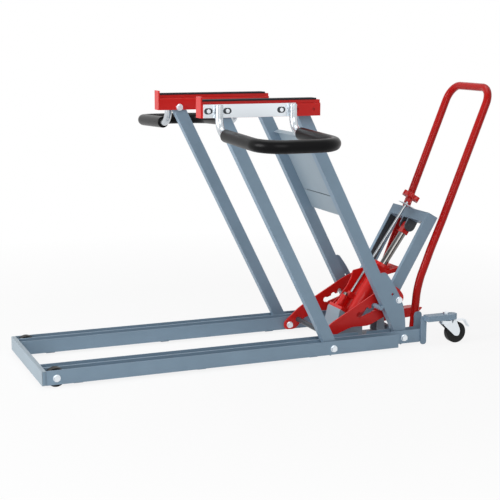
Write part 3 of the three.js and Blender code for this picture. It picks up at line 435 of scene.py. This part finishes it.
def paint_second(piece, slot, wanted):
    """Adds a second finish to a piece, on the faces that pass a test."""
    piece.data.materials.append(finish_for(slot))
    for face in piece.data.polygons:
        if wanted(face):
            face.material_index = 1


def select_parts(piece, kind, parts, wanted):
    """Selects points, edges or faces of a piece by a test; leaves edit mode open."""
    take(piece)
    bpy.ops.object.mode_set(mode="EDIT")
    bpy.ops.mesh.select_mode(type=kind)
    bpy.ops.mesh.select_all(action="DESELECT")
    bpy.ops.object.mode_set(mode="OBJECT")
    for part in parts:
        part.select = wanted(part)
    bpy.ops.object.mode_set(mode="EDIT")


def edge_line(piece, edge):
    """Vector from the first to the second point of an edge."""
    first, second = (piece.data.vertices[i].co for i in edge.vertices)
    return second - first


def dressed_copy(node, edge=None, long_round=None, segments=2):
    """Welded copy of a CAD node with rounded edges, which then stands for the node."""
    sizes = bpy.context.scene.lift_sizes
    take(frame["nodes"][node])
    bpy.ops.object.duplicate(linked=False)
    piece = bpy.context.object
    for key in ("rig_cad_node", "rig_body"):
        del piece[key]
    piece.parent = None
    piece.data.materials.clear()
    bpy.ops.object.mode_set(mode="EDIT")
    bpy.ops.mesh.select_all(action="SELECT")
    bpy.ops.mesh.remove_doubles(threshold=CAD_WELD)
    bpy.ops.mesh.dissolve_limited(angle_limit=math.radians(FLAT_ANGLE))
    bpy.ops.object.mode_set(mode="OBJECT")
    if long_round:
        edges = piece.data.edges
        select_parts(piece, "EDGE", edges, lambda e: edge_line(piece, e).length > LONG_EDGE)
        bpy.ops.mesh.bevel(offset=long_round, segments=3, clamp_overlap=True)
        bpy.ops.object.mode_set(mode="OBJECT")
    apply_bevel(piece, edge or sizes.edge_round, segments)
    return hand_over(piece, f"{node}_finish", BODY_OF[node], SLOT_OF[node], [node])


def both(name):
    """Names of the left and the right node of a pair."""
    return [f"{name}_{side}" for side in SIDES]


def bent_tube(corners, bend_radii, radius):
    """Round tube: a ring drawn along the straights and spun round the bends at the corners."""
    sides = bpy.context.scene.lift_sizes.tube_sides
    clear_selection()
    heading = (corners[1] - corners[0]).normalized()
    bpy.ops.mesh.primitive_circle_add(
        vertices=sides,
        radius=radius,
        fill_type="NGON",
        location=corners[0],
        rotation=heading.to_track_quat("Z", "Y").to_euler(),
    )
    piece = bpy.context.object
    place_in_mesh(piece)
    bpy.ops.object.mode_set(mode="EDIT")
    bpy.ops.mesh.select_mode(type="FACE")
    bpy.ops.mesh.select_all(action="SELECT")
    here = corners[0].copy()
    for i in range(1, len(corners) - 1):
        back = (corners[i - 1] - corners[i]).normalized()
        onward = (corners[i + 1] - corners[i]).normalized()
        turn = math.pi - back.angle(onward)
        if turn < STRAIGHT:
            continue
        reach = bend_radii[i - 1] * math.tan(turn / 2)
        start = corners[i] + back * reach
        middle = (back + onward).normalized()
        centre = corners[i] + middle * (bend_radii[i - 1] / math.cos(turn / 2))
        axis = (-back).cross(onward).normalized()
        bpy.ops.mesh.extrude_region_move(TRANSFORM_OT_translate={"value": start - here})
        steps = max(1, round(math.degrees(turn) / TURN_STEP))
        bpy.ops.mesh.spin(steps=steps, angle=-turn, center=centre, axis=axis)
        here = corners[i] + onward * reach
    bpy.ops.mesh.extrude_region_move(TRANSFORM_OT_translate={"value": corners[-1] - here})
    close_shell()
    bpy.ops.object.mode_set(mode="OBJECT")
    return piece


def rod_across(centre, radius, depth, facets):
    """Cylinder or prism whose axis lies along Y."""
    clear_selection()
    bpy.ops.mesh.primitive_cylinder_add(
        vertices=facets,
        radius=radius,
        depth=depth,
        location=centre,
        rotation=(math.radians(90), 0, 0),
    )
    rod = bpy.context.object
    place_in_mesh(rod)
    return rod


def turned_wheel(centre, radius, width, hub, hub_radius, boss_radius, dish, turn):
    """Wheel turned from a cylinder: dished sides, a raised boss and rounded tread edges.

    hub is the finish inside hub_radius, and turn the angle of the axle about Z.
    """
    facets = bpy.context.scene.lift_sizes.wheel_facets
    piece = rod_across((0, 0, 0), radius, width, facets)
    piece.data.materials.append(finish_for("tyre"))
    piece.data.materials.append(finish_for(hub))
    select_parts(piece, "FACE", piece.data.polygons, lambda f: abs(f.normal.y) > FACES_ALONG)
    bpy.ops.mesh.inset(thickness=radius - hub_radius, depth=0)
    bpy.ops.mesh.inset(thickness=dish / 2, depth=-dish)
    piece.active_material_index = 1
    bpy.ops.object.material_slot_assign()
    bpy.ops.mesh.inset(thickness=hub_radius - dish / 2 - boss_radius, depth=0)
    bpy.ops.mesh.inset(thickness=dish / 3, depth=dish)
    bpy.ops.object.mode_set(mode="OBJECT")
    apply_bevel(piece, TREAD_EDGE, 3)
    piece.location = centre
    piece.rotation_euler = (0, 0, turn)
    place_in_mesh(piece)
    return piece


def wheel_turn(joint_name):
    """Angle about Z by which a wheel's axle stands away from Y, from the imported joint."""
    for joint in frame["record"]["behaviour"]["joints"]:
        if joint["name"] == joint_name:
            return math.atan2(-joint["axis"][0], joint["axis"][1])
    raise RuntimeError(f"no joint is named {joint_name}")


# Pieces.


# Wall of the front bar and of the plates that close its ends.
BAR_WALL = 3 * MM
CAP_WALL = 2.5 * MM


class LIFT_OT_base_steel(bpy.types.Operator):
    """Painted rails, cross tubes, end posts and caster arms"""

    bl_idname = "lift.base_steel"
    bl_label = "Base steelwork"

    def execute(self, context):
        sizes = context.scene.lift_sizes
        for node in both("rail_outer") + both("rail_inner"):
            dressed_copy(node, edge=sizes.edge_round * 0.8)
        for node in both("caster_arm") + ["front_bar", "cross_tube_rear"]:
            dressed_copy(node)
        for side in SIDES:
            self.end_cap(side)
        return {"FINISHED"}

    def end_cap(self, side):
        """Welded plate that closes an end of the front bar, flush with the outer rail."""
        low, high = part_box("front_bar")
        rail_low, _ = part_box(f"rail_outer_{side}")
        sign = SIDE_SIGN[side]
        outer = (high if sign > 0 else low).y
        begin, end = low.x + BAR_WALL, rail_low.x
        clear_selection()
        bpy.ops.mesh.primitive_cube_add(
            size=1,
            location=((begin + end) / 2, outer - sign * CAP_WALL / 2, (low.z + high.z) / 2),
            scale=(end - begin, CAP_WALL, high.z - low.z - 2 * BAR_WALL),
        )
        cap = bpy.context.object
        place_in_mesh(cap)
        hand_over(cap, f"front_bar_cap_{side}", "base", "steel_blue", [])


# The lock pins stand in from the inner faces of the rear arms.
ARM_INNER_FACE = 152.5 * MM


def plate_lock_pin(arm):
    """Bare zinc on the lock pin, which is welded to the painted arm."""
    paint_second(arm, "zinc", lambda face: abs(face.center.y) < ARM_INNER_FACE)


# Portal: reach of the lugs from the middle, depth of the beam, smallest inner face of a leg,
# largest face of a lug, wall and depth of the open channel.
PORTAL_LUG_REACH = 60 * MM
PORTAL_BEAM = 37.5 * MM
PORTAL_LEG_FACE = 2000 * MM**2
PORTAL_LUG_FACE = 3000 * MM**2
PORTAL_WALL = 2 * MM
PORTAL_GROOVE = 11 * MM

# Slit of the cross plate: lean of the plate in degrees, X and Z of the slit on its back face,
# ends along Y, then the gap to the backing lip, its thickness and height, and its edges.
SLIT_TILT = -26.65
SLIT_BACK = (226.6 * MM, 522.1 * MM)
SLIT_ENDS = (-104 * MM, 146 * MM)
SLIT_BACKING_GAP = 4 * MM
SLIT_BACKING = (2 * MM, 22 * MM)
SLIT_BACKING_EDGE = 0.4 * MM


class LIFT_OT_arms(bpy.types.Operator):
    """Four rectangular tube arms, the folded cross plate and the portal"""

    bl_idname = "lift.arms"
    bl_label = "Arms and portal"

    def execute(self, context):
        sizes = context.scene.lift_sizes
        for node in both("front_arm") + both("rear_arm"):
            arm = dressed_copy(node, long_round=sizes.tube_round)
            if node.startswith("rear_arm"):
                plate_lock_pin(arm)
        self.open_portal(dressed_copy("portal", edge=sizes.edge_round * 2))
        dressed_copy("cross_plate", edge=sizes.edge_round * 0.7)
        self.slit_backing()
        return {"FINISHED"}

    def open_portal(self, portal):
        """Makes the portal legs channels, open on their inner sides, and paints the lugs and the
        inside of the channels black as painted shade.
        """
        longest = max((edge_line(portal, e) for e in portal.data.edges), key=lambda v: v.length)
        up = longest.normalized() * math.copysign(1, longest.z)
        top = max(point.co.dot(up) for point in portal.data.vertices)

        def on_lug(face):
            near_middle = abs(face.center.y) < PORTAL_LUG_REACH
            below_beam = face.center.dot(up) < top - PORTAL_BEAM
            return near_middle and below_beam and face.area < PORTAL_LUG_FACE

        def inside_leg(face):
            inward = face.normal.y * face.center.y < 0 and abs(face.normal.y) > FACES_ALONG
            beyond_lugs = abs(face.center.y) > PORTAL_LUG_REACH
            return inward and beyond_lugs and face.area > PORTAL_LEG_FACE

        # Painted shade: the lugs get the black coat.
        paint_second(portal, "dark_steel", on_lug)
        select_parts(portal, "FACE", portal.data.polygons, inside_leg)
        bpy.ops.mesh.inset(thickness=PORTAL_WALL, depth=0, use_individual=True)
        bpy.ops.mesh.inset(thickness=WELD, depth=-PORTAL_GROOVE, use_individual=True)
        # Painted shade: the inside of each channel gets the black coat.
        portal.active_material_index = 1
        bpy.ops.object.material_slot_assign()
        bpy.ops.object.mode_set(mode="OBJECT")

    def slit_backing(self):
        """Lip close behind the slit of the cross plate; its side that the slit shows is black, as
        painted shade.
        """
        tilt = math.radians(SLIT_TILT)
        out = Vector((math.cos(tilt), 0, -math.sin(tilt)))
        low, high = SLIT_ENDS
        centre = Vector((SLIT_BACK[0], (low + high) / 2, SLIT_BACK[1])) + out * SLIT_BACKING_GAP
        clear_selection()
        bpy.ops.mesh.primitive_cube_add(
            size=1,
            location=centre,
            rotation=(0, tilt, 0),
            scale=(SLIT_BACKING[0], high - low, SLIT_BACKING[1]),
        )
        backing = bpy.context.object
        place_in_mesh(backing)
        apply_bevel(backing, SLIT_BACKING_EDGE)
        hand_over(backing, "cross_plate_backing", "rear_arms", "pale_steel", [])
        # Painted shade: the face that the slit shows gets the black coat.
        paint_second(backing, "dark_steel", lambda face: face.normal.dot(out) < -FACES_ALONG)


# Share of the CAD pad's thickness that the real pad shows.
PAD_SHARE = 0.6


class LIFT_OT_platform(bpy.types.Operator):
    """Red platform rails with their rubber pads"""

    bl_idname = "lift.platform"
    bl_label = "Platform rails"

    def execute(self, context):
        for node in both("platform_rail"):
            dressed_copy(node)
        for node in both("platform_pad"):
            self.thin(dressed_copy(node))
        return {"FINISHED"}

    def thin(self, pad):
        """Presses a pad down to the thickness that shows beside its rail."""
        seat = min(point.co.z for point in pad.data.vertices)
        take(pad)
        bpy.ops.object.mode_set(mode="EDIT")
        bpy.ops.mesh.select_all(action="SELECT")
        bpy.ops.transform.resize(value=(1, 1, PAD_SHARE), center_override=(0, 0, seat))
        bpy.ops.object.mode_set(mode="OBJECT")


# Slotted strip that carries a wheel loop: places of the slots from its front end, their form,
# the plate of painted shade in each slot with the gap round it, the hexagon bolts and the edges.
STRIP_THICKNESS = 4 * MM
STRIP_SLOTS = (17 * MM, 80 * MM, 263 * MM)
SLOT_FACETS = 32
SLOT_LENGTH = 28 * MM
SLOT_WIDTH = 19 * MM
SLOT_PLATE = 1.2 * MM
SLOT_GAP = 0.2 * MM
STRIP_BOLT_RADIUS = 7.2 * MM
STRIP_BOLT_HEIGHT = 7 * MM
STRIP_BOLT_EDGE = 0.9 * MM
STRIP_EDGE = 0.6 * MM


def slot_block(centre, length, width, depth):
    """Long round-ended block that lies across Y, to cut a slot or to fill its bottom."""
    block = rod_across(centre, width / 2, depth, SLOT_FACETS)
    stretch = length / 2 - width / 2
    for sign in (-1, 1):
        points = block.data.vertices
        select_parts(block, "VERT", points, lambda p: (p.co.x - centre.x) * sign > WELD)
        bpy.ops.transform.translate(value=(sign * stretch, 0, 0))
        bpy.ops.object.mode_set(mode="OBJECT")
    return block


def hex_head(centre, radius, height):
    """Hexagon head standing out along Y, with rounded edges."""
    head = rod_across(centre, radius, height, facets=6)
    apply_bevel(head, STRIP_BOLT_EDGE)
    return head


class LIFT_OT_strips(bpy.types.Operator):
    """Zinc strips with three slots, dark plates of painted shade in the slots, and hexagon bolts
    """

    bl_idname = "lift.strips"
    bl_label = "Slotted strips"

    def execute(self, context):
        for side in SIDES:
            self.strip(side)
        return {"FINISHED"}

    def strip(self, side):
        sign = SIDE_SIGN[side]
        body = f"platform_{side[0]}"
        low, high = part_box(f"loop_strip_{side}")
        seat = low.y if sign > 0 else high.y
        middle = (low + high) / 2
        middle.y = seat + sign * STRIP_THICKNESS / 2
        clear_selection()
        bpy.ops.mesh.primitive_cube_add(
            size=1, location=middle, scale=(high.x - low.x, STRIP_THICKNESS, high.z - low.z)
        )
        plate = bpy.context.object
        place_in_mesh(plate)
        places = [Vector((low.x + x, middle.y, middle.z)) for x in STRIP_SLOTS]
        for place in places:
            cutter = slot_block(place, SLOT_LENGTH, SLOT_WIDTH, STRIP_THICKNESS * 3)
            cut = plate.modifiers.new("slot", "BOOLEAN")
            cut.operation = "DIFFERENCE"
            cut.object = cutter
            take(plate)
            bpy.ops.object.modifier_apply(modifier=cut.name)
            bpy.data.objects.remove(cutter, do_unlink=True)
        apply_bevel(plate, STRIP_EDGE)
        hand_over(plate, f"strip_plate_{side}", body, "zinc", [f"loop_strip_{side}"])
        for number, place in enumerate(places):
            bottom = place.copy()
            bottom.y = seat + sign * (SLOT_PLATE / 2 + SLOT_GAP)
            length, width = SLOT_LENGTH - 2 * SLOT_GAP, SLOT_WIDTH - 2 * SLOT_GAP
            inner = slot_block(bottom, length, width, SLOT_PLATE)
            # Painted shade: the dark plate darkens the slot over the rail behind it.
            hand_over(inner, f"slot_plate_{side}_{number}", body, "dark_steel", [])
            seat_place = place.copy()
            seat_place.y = seat + sign * (SLOT_PLATE + SLOT_GAP * 2 + STRIP_BOLT_HEIGHT / 2)
            head = hex_head(seat_place, STRIP_BOLT_RADIUS, STRIP_BOLT_HEIGHT)
            hand_over(head, f"strip_bolt_{side}_{number}", body, "zinc", [])


class LIFT_OT_fasteners(bpy.types.Operator):
    """Pins and bolts of every pivot"""

    bl_idname = "lift.fasteners"
    bl_label = "Pins and bolts"

    def execute(self, context):
        names = ("front_pivot_pin", "rear_pivot_pin", "roller_axle", "portal_pin",
                 "platform_pin_front", "platform_pin_rear")
        for name in names:
            for node in both(name):
                dressed_copy(node, edge=0.6 * MM)
        dressed_copy("rod_tab", edge=0.5 * MM)
        return {"FINISHED"}


class LIFT_OT_jack(bpy.types.Operator):
    """Jack, pump, seat, pedal, lock plates and release knob"""

    bl_idname = "lift.jack"
    bl_label = "Jack and locks"

    def execute(self, context):
        names = ["jack_seat", "jack_base", "jack_body", "jack_collar", "jack_ram", "ram_clevis",
                 "pump_cylinder", "pump_plunger", "foot_pedal"]
        for node in [*names, "lock_tie", *both("lock_plate")]:
            dressed_copy(node)
        # The knob is moulded, with well rounded lobes.
        dressed_copy("release_knob", edge=3.6 * MM, segments=4)
        # Painted shade: the rod gets the darker copy of the bright metal.
        repaint(dressed_copy("release_rod"), "rod_metal_painted_shade")
        return {"FINISHED"}


# Where the origin of the traced places below lies along X.
TRACE_X = 162.2 * MM

# Wheel loop: places of its legs, elbows and far end, bend radii, and radii of tube and foam.
LOOP = {
    "front": -416 * MM,
    "rear": -165 * MM,
    "leg": 246.7 * MM,
    "top": 850 * MM,
    "elbow": 762 * MM,
    "drop": 12 * MM,
    "reach": 600 * MM,
    "bend": 50 * MM,
    "corner": 75 * MM,
    "tube": 12.5 * MM,
    "foam": 20 * MM,
    "tube_end": 2 * MM,
    "foam_end": 4 * MM,
}


def loop_corners(sign):
    """Corner points of one wheel loop, from its front leg round to its rear leg."""
    front, rear = LOOP["front"] + TRACE_X, LOOP["rear"] + TRACE_X
    leg = LOOP["leg"] * sign
    reach = LOOP["reach"] * sign
    elbow, low = LOOP["elbow"], LOOP["elbow"] - LOOP["drop"]
    return [
        Vector((front, leg, LOOP["top"])),
        Vector((front, leg, elbow)),
        Vector((front, reach, low)),
        Vector((rear, reach, low)),
        Vector((rear, leg, elbow)),
        Vector((rear, leg, LOOP["top"])),
    ]


class LIFT_OT_wheel_loops(bpy.types.Operator):
    """Bent zinc loops with their foam sleeves"""

    bl_idname = "lift.wheel_loops"
    bl_label = "Wheel loops"

    def execute(self, context):
        bend, corner = LOOP["bend"], LOOP["corner"]
        for side in SIDES:
            sign = SIDE_SIGN[side]
            body = f"platform_{side[0]}"
            corners = loop_corners(sign)
            tube = bent_tube(corners, [bend, corner, corner, bend], LOOP["tube"])
            apply_bevel(tube, LOOP["tube_end"], angle=TUBE_END_ANGLE)
            hand_over(tube, f"wheel_loop_bar_{side}", body, "zinc", [f"wheel_loop_{side}"])
            # Painted shade: the loop gets the darker copy of the zinc.
            repaint(tube, "loop_zinc")
            begin = LOOP["leg"] + bend + LOOP["tube"] / 2
            share = (begin - LOOP["leg"]) / (LOOP["reach"] - LOOP["leg"])
            ends = [corners[1].lerp(corners[2], share), corners[4].lerp(corners[3], share)]
            sleeve = [ends[0], corners[2], corners[3], ends[1]]
            foam = bent_tube(sleeve, [corner, corner], LOOP["foam"])
            apply_bevel(foam, LOOP["foam_end"], 3, TUBE_END_ANGLE)
            hand_over(foam, f"loop_sleeve_{side}", body, "foam", [f"loop_foam_{side}"])
        return {"FINISHED"}


# Push handle: side line of a leg in millimetres, which leans straight on to the top bar, then
# X and Z of the bar, half width, radius of the top corners and of the bends, and tube radius.
HANDLE_LINE = ((360, 46), (366, 110), (372, 178), (384, 226), (405, 279), (421, 321), (466, 425))
HANDLE_TOP_X = 650 * MM
HANDLE_HALF = 131.5 * MM
HANDLE_TOP = 882.3 * MM
HANDLE_CORNER = 58 * MM
HANDLE_RADIUS = 14 * MM
HANDLE_BEND = 150 * MM
HANDLE_END = 1.5 * MM


class LIFT_OT_handle(bpy.types.Operator):
    """Red tubular push handle"""

    bl_idname = "lift.handle"
    bl_label = "Push handle"

    def execute(self, context):
        line = [Vector((x * MM + TRACE_X, HANDLE_HALF, z * MM)) for x, z in HANDLE_LINE]
        top = Vector((HANDLE_TOP_X + TRACE_X, HANDLE_HALF, HANDLE_TOP))
        near = [*line, top]
        far = [Vector((p.x, -p.y, p.z)) for p in reversed(near)]
        corners = [*near, *far]
        radii = [HANDLE_BEND] * (len(line) - 1) + [HANDLE_CORNER]
        handle = bent_tube(corners, [*radii, *reversed(radii)], HANDLE_RADIUS)
        apply_bevel(handle, HANDLE_END, angle=TUBE_END_ANGLE)
        hand_over(handle, "push_handle_tube", "base", "red_paint", ["push_handle"])
        # Painted shade: the handle gets the darker copy of the red.
        repaint(handle, "handle_red_painted_shade")
        return {"FINISHED"}


# Wheels: node, joint, finish of the hub, shares of the radius for hub and boss, and depth of
# the dish.
WHEELS = (
    ("caster_wheel", "caster_spin", "tyre", 0.62, 0.3, 2.5 * MM),
    ("roller", "roller_spin", "hub", 0.6, 0.42, 2 * MM),
)


class LIFT_OT_wheels(bpy.types.Operator):
    """Caster wheels, forks and brakes, and the front rollers"""

    bl_idname = "lift.wheels"
    bl_label = "Casters and rollers"

    def execute(self, context):
        for side in SIDES:
            for name, joint, hub, hub_share, boss_share, dish in WHEELS:
                node = f"{name}_{side}"
                low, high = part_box(node)
                # The left wheel stands square to the axes, so its box gives the true sizes.
                square_low, square_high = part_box(f"{name}_left")
                size = square_high - square_low
                radius = size.z / 2
                wheel = turned_wheel(
                    centre=(low + high) / 2,
                    radius=radius,
                    width=size.y,
                    hub=hub,
                    hub_radius=radius * hub_share,
                    boss_radius=radius * boss_share,
                    dish=dish,
                    turn=wheel_turn(f"{joint}_{side[0]}"),
                )
                hand_over(wheel, f"{node}_turned", BODY_OF[node], None, [node])
            dressed_copy(f"caster_fork_{side}", edge=0.6 * MM)
            repaint(dressed_copy(f"brake_lever_{side}", edge=0.7 * MM), "zinc")
        return {"FINISHED"}


# Studio.


# Camera as fitted to the photo: place, turns in degrees, focal length and sensor in millimetres.
CAMERA_PLACE = (-1.5806, -3.7137, 1.0737)
CAMERA_YAW = 22.43
CAMERA_PITCH = 10.34
CAMERA_ROLL = 0.2
CAMERA_LENS = 86.14
CAMERA_SENSOR = 36

# Floor: half its side, share of white near the lift, and where the white begins and is full.
FLOOR_HALF = 12
FLOOR_GLOW = 0.86
FLOOR_FADE = (1.0, 2.4)

# Strength of the white surroundings as light on the object.
WORLD_FILL = 0.22

# Square lamps: name, place, side in metres and watts. All look at one point of the lift.
LAMPS = (
    ("key_lamp", (-4.6, -0.4, 1.9), 2.4, 150),
    ("front_lamp", (-0.8, -4.6, 2.6), 3.0, 70),
    ("top_lamp", (0.2, 0.8, 4.5), 3.0, 56),
)
LAMP_AIM = Vector((0, 0, 0.4))


class LIFT_OT_studio(bpy.types.Operator):
    """Pale floor, soft lamps and the camera"""

    bl_idname = "lift.studio"
    bl_label = "Studio"

    def execute(self, context):
        self.floor(context)
        self.world(context)
        self.lamps()
        self.camera(context)
        return {"FINISHED"}

    def floor(self, context):
        clear_selection()
        bpy.ops.mesh.primitive_plane_add(size=FLOOR_HALF * 2)
        floor = bpy.context.object
        floor.name = "studio_floor"
        material = bpy.data.materials.new("studio_floor")
        material.use_nodes = True
        tree = material.node_tree
        tree.nodes.clear()
        path = add_node(tree, "ShaderNodeLightPath")
        seen = add_node(
            tree,
            "ShaderNodeMath",
            settings={"operation": "MAXIMUM"},
            links={0: (path, "Is Camera Ray"), 1: (path, "Is Glossy Ray")},
        )
        # Near the lift the floor keeps its shadow; further out it fades into the white background.
        place = add_node(tree, "ShaderNodeTexCoord")
        away = add_node(
            tree,
            "ShaderNodeVectorMath",
            settings={"operation": "LENGTH"},
            links={0: (place, "Object")},
        )
        fade = add_node(
            tree,
            "ShaderNodeMapRange",
            inputs={
                "From Min": FLOOR_FADE[0],
                "From Max": FLOOR_FADE[1],
                "To Min": FLOOR_GLOW,
                "To Max": 1.0,
            },
            links={"Value": (away, "Value")},
        )
        share = add_node(
            tree,
            "ShaderNodeMath",
            settings={"operation": "MULTIPLY"},
            links={0: (seen, "Value"), 1: (fade, "Result")},
        )
        matt = add_node(
            tree,
            "ShaderNodeBsdfDiffuse",
            inputs={"Color": (*context.scene.lift_colours.floor, 1)},
        )
        glow = add_node(
            tree,
            "ShaderNodeEmission",
            inputs={"Color": (1, 1, 1, 1), "Strength": 1.0},
        )
        mixed = add_node(
            tree,
            "ShaderNodeMixShader",
            links={0: (share, "Value"), 1: (matt, "BSDF"), 2: (glow, "Emission")},
        )
        add_node(tree, "ShaderNodeOutputMaterial", links={"Surface": (mixed, "Shader")})
        floor.data.materials.append(material)

    def world(self, context):
        world = bpy.data.worlds.new("studio_world")
        context.scene.world = world
        world.use_nodes = True
        tree = world.node_tree
        tree.nodes.clear()
        path = add_node(tree, "ShaderNodeLightPath")
        seen = add_node(
            tree,
            "ShaderNodeMath",
            settings={"operation": "MAXIMUM"},
            links={0: (path, "Is Camera Ray"), 1: (path, "Is Transmission Ray")},
        )
        bright = add_node(
            tree,
            "ShaderNodeMath",
            settings={"operation": "MAXIMUM"},
            links={0: (seen, "Value"), 1: (path, "Is Glossy Ray")},
        )
        strength = add_node(
            tree,
            "ShaderNodeMapRange",
            inputs={"To Min": WORLD_FILL, "To Max": 1.0},
            links={"Value": (bright, "Value")},
        )
        sky = add_node(
            tree,
            "ShaderNodeBackground",
            inputs={"Color": (1, 1, 1, 1)},
            links={"Strength": (strength, "Result")},
        )
        add_node(tree, "ShaderNodeOutputWorld", links={"Surface": (sky, "Background")})

    def lamps(self):
        for name, place, size, power in LAMPS:
            clear_selection()
            bpy.ops.object.light_add(type="AREA", location=place)
            lamp = bpy.context.object
            lamp.name = name
            lamp.data.size = size
            lamp.data.energy = power
            aim = LAMP_AIM - Vector(place)
            lamp.rotation_euler = aim.to_track_quat("-Z", "Y").to_euler()

    def camera(self, context):
        clear_selection()
        bpy.ops.object.camera_add(location=CAMERA_PLACE)
        camera = bpy.context.object
        camera.name = "photo_camera"
        camera.data.lens = CAMERA_LENS
        camera.data.sensor_width = CAMERA_SENSOR
        camera.data.sensor_fit = "HORIZONTAL"
        yaw, pitch, roll = (math.radians(a) for a in (CAMERA_YAW, CAMERA_PITCH, CAMERA_ROLL))
        forward = Vector((math.sin(yaw), math.cos(yaw), 0))
        ahead = forward * math.cos(pitch) - Vector((0, 0, math.sin(pitch)))
        level = Vector((math.cos(yaw), -math.sin(yaw), 0))
        above = level.cross(ahead)
        right = level * math.cos(roll) + above * math.sin(roll)
        up = -level * math.sin(roll) + above * math.cos(roll)
        turn = Matrix((right, up, -ahead)).transposed()
        camera.rotation_euler = turn.to_euler()
        context.scene.camera = camera
        context.scene.view_settings.view_transform = "Standard"


class LIFT_PT_panel(bpy.types.Panel):
    """Buttons for each group of pieces"""

    bl_idname = "LIFT_PT_panel"
    bl_label = "Mower lift"
    bl_space_type = "VIEW_3D"
    bl_region_type = "UI"
    bl_category = "Lift"

    def draw(self, context):
        layout = self.layout
        for group in (context.scene.lift_sizes, context.scene.lift_colours):
            for name in group.__annotations__:
                layout.prop(group, name)
        for operator in OPERATORS:
            layout.operator(operator.bl_idname)


OPERATORS = (
    LIFT_OT_base_steel,
    LIFT_OT_arms,
    LIFT_OT_platform,
    LIFT_OT_strips,
    LIFT_OT_fasteners,
    LIFT_OT_jack,
    LIFT_OT_wheel_loops,
    LIFT_OT_handle,
    LIFT_OT_wheels,
    LIFT_OT_studio,
)
CLASSES = (LiftSizes, LiftColours, *OPERATORS, LIFT_PT_panel)


def register():
    for item in CLASSES:
        bpy.utils.register_class(item)
    bpy.types.Scene.lift_sizes = bpy.props.PointerProperty(type=LiftSizes)
    bpy.types.Scene.lift_colours = bpy.props.PointerProperty(type=LiftColours)


def unregister():
    del bpy.types.Scene.lift_colours
    del bpy.types.Scene.lift_sizes
    for item in reversed(CLASSES):
        bpy.utils.unregister_class(item)


def main():
    register()
    for operator in OPERATORS:
        group, name = operator.bl_idname.split(".")
        getattr(getattr(bpy.ops, group), name)()


if __name__ == "__main__":
    main()
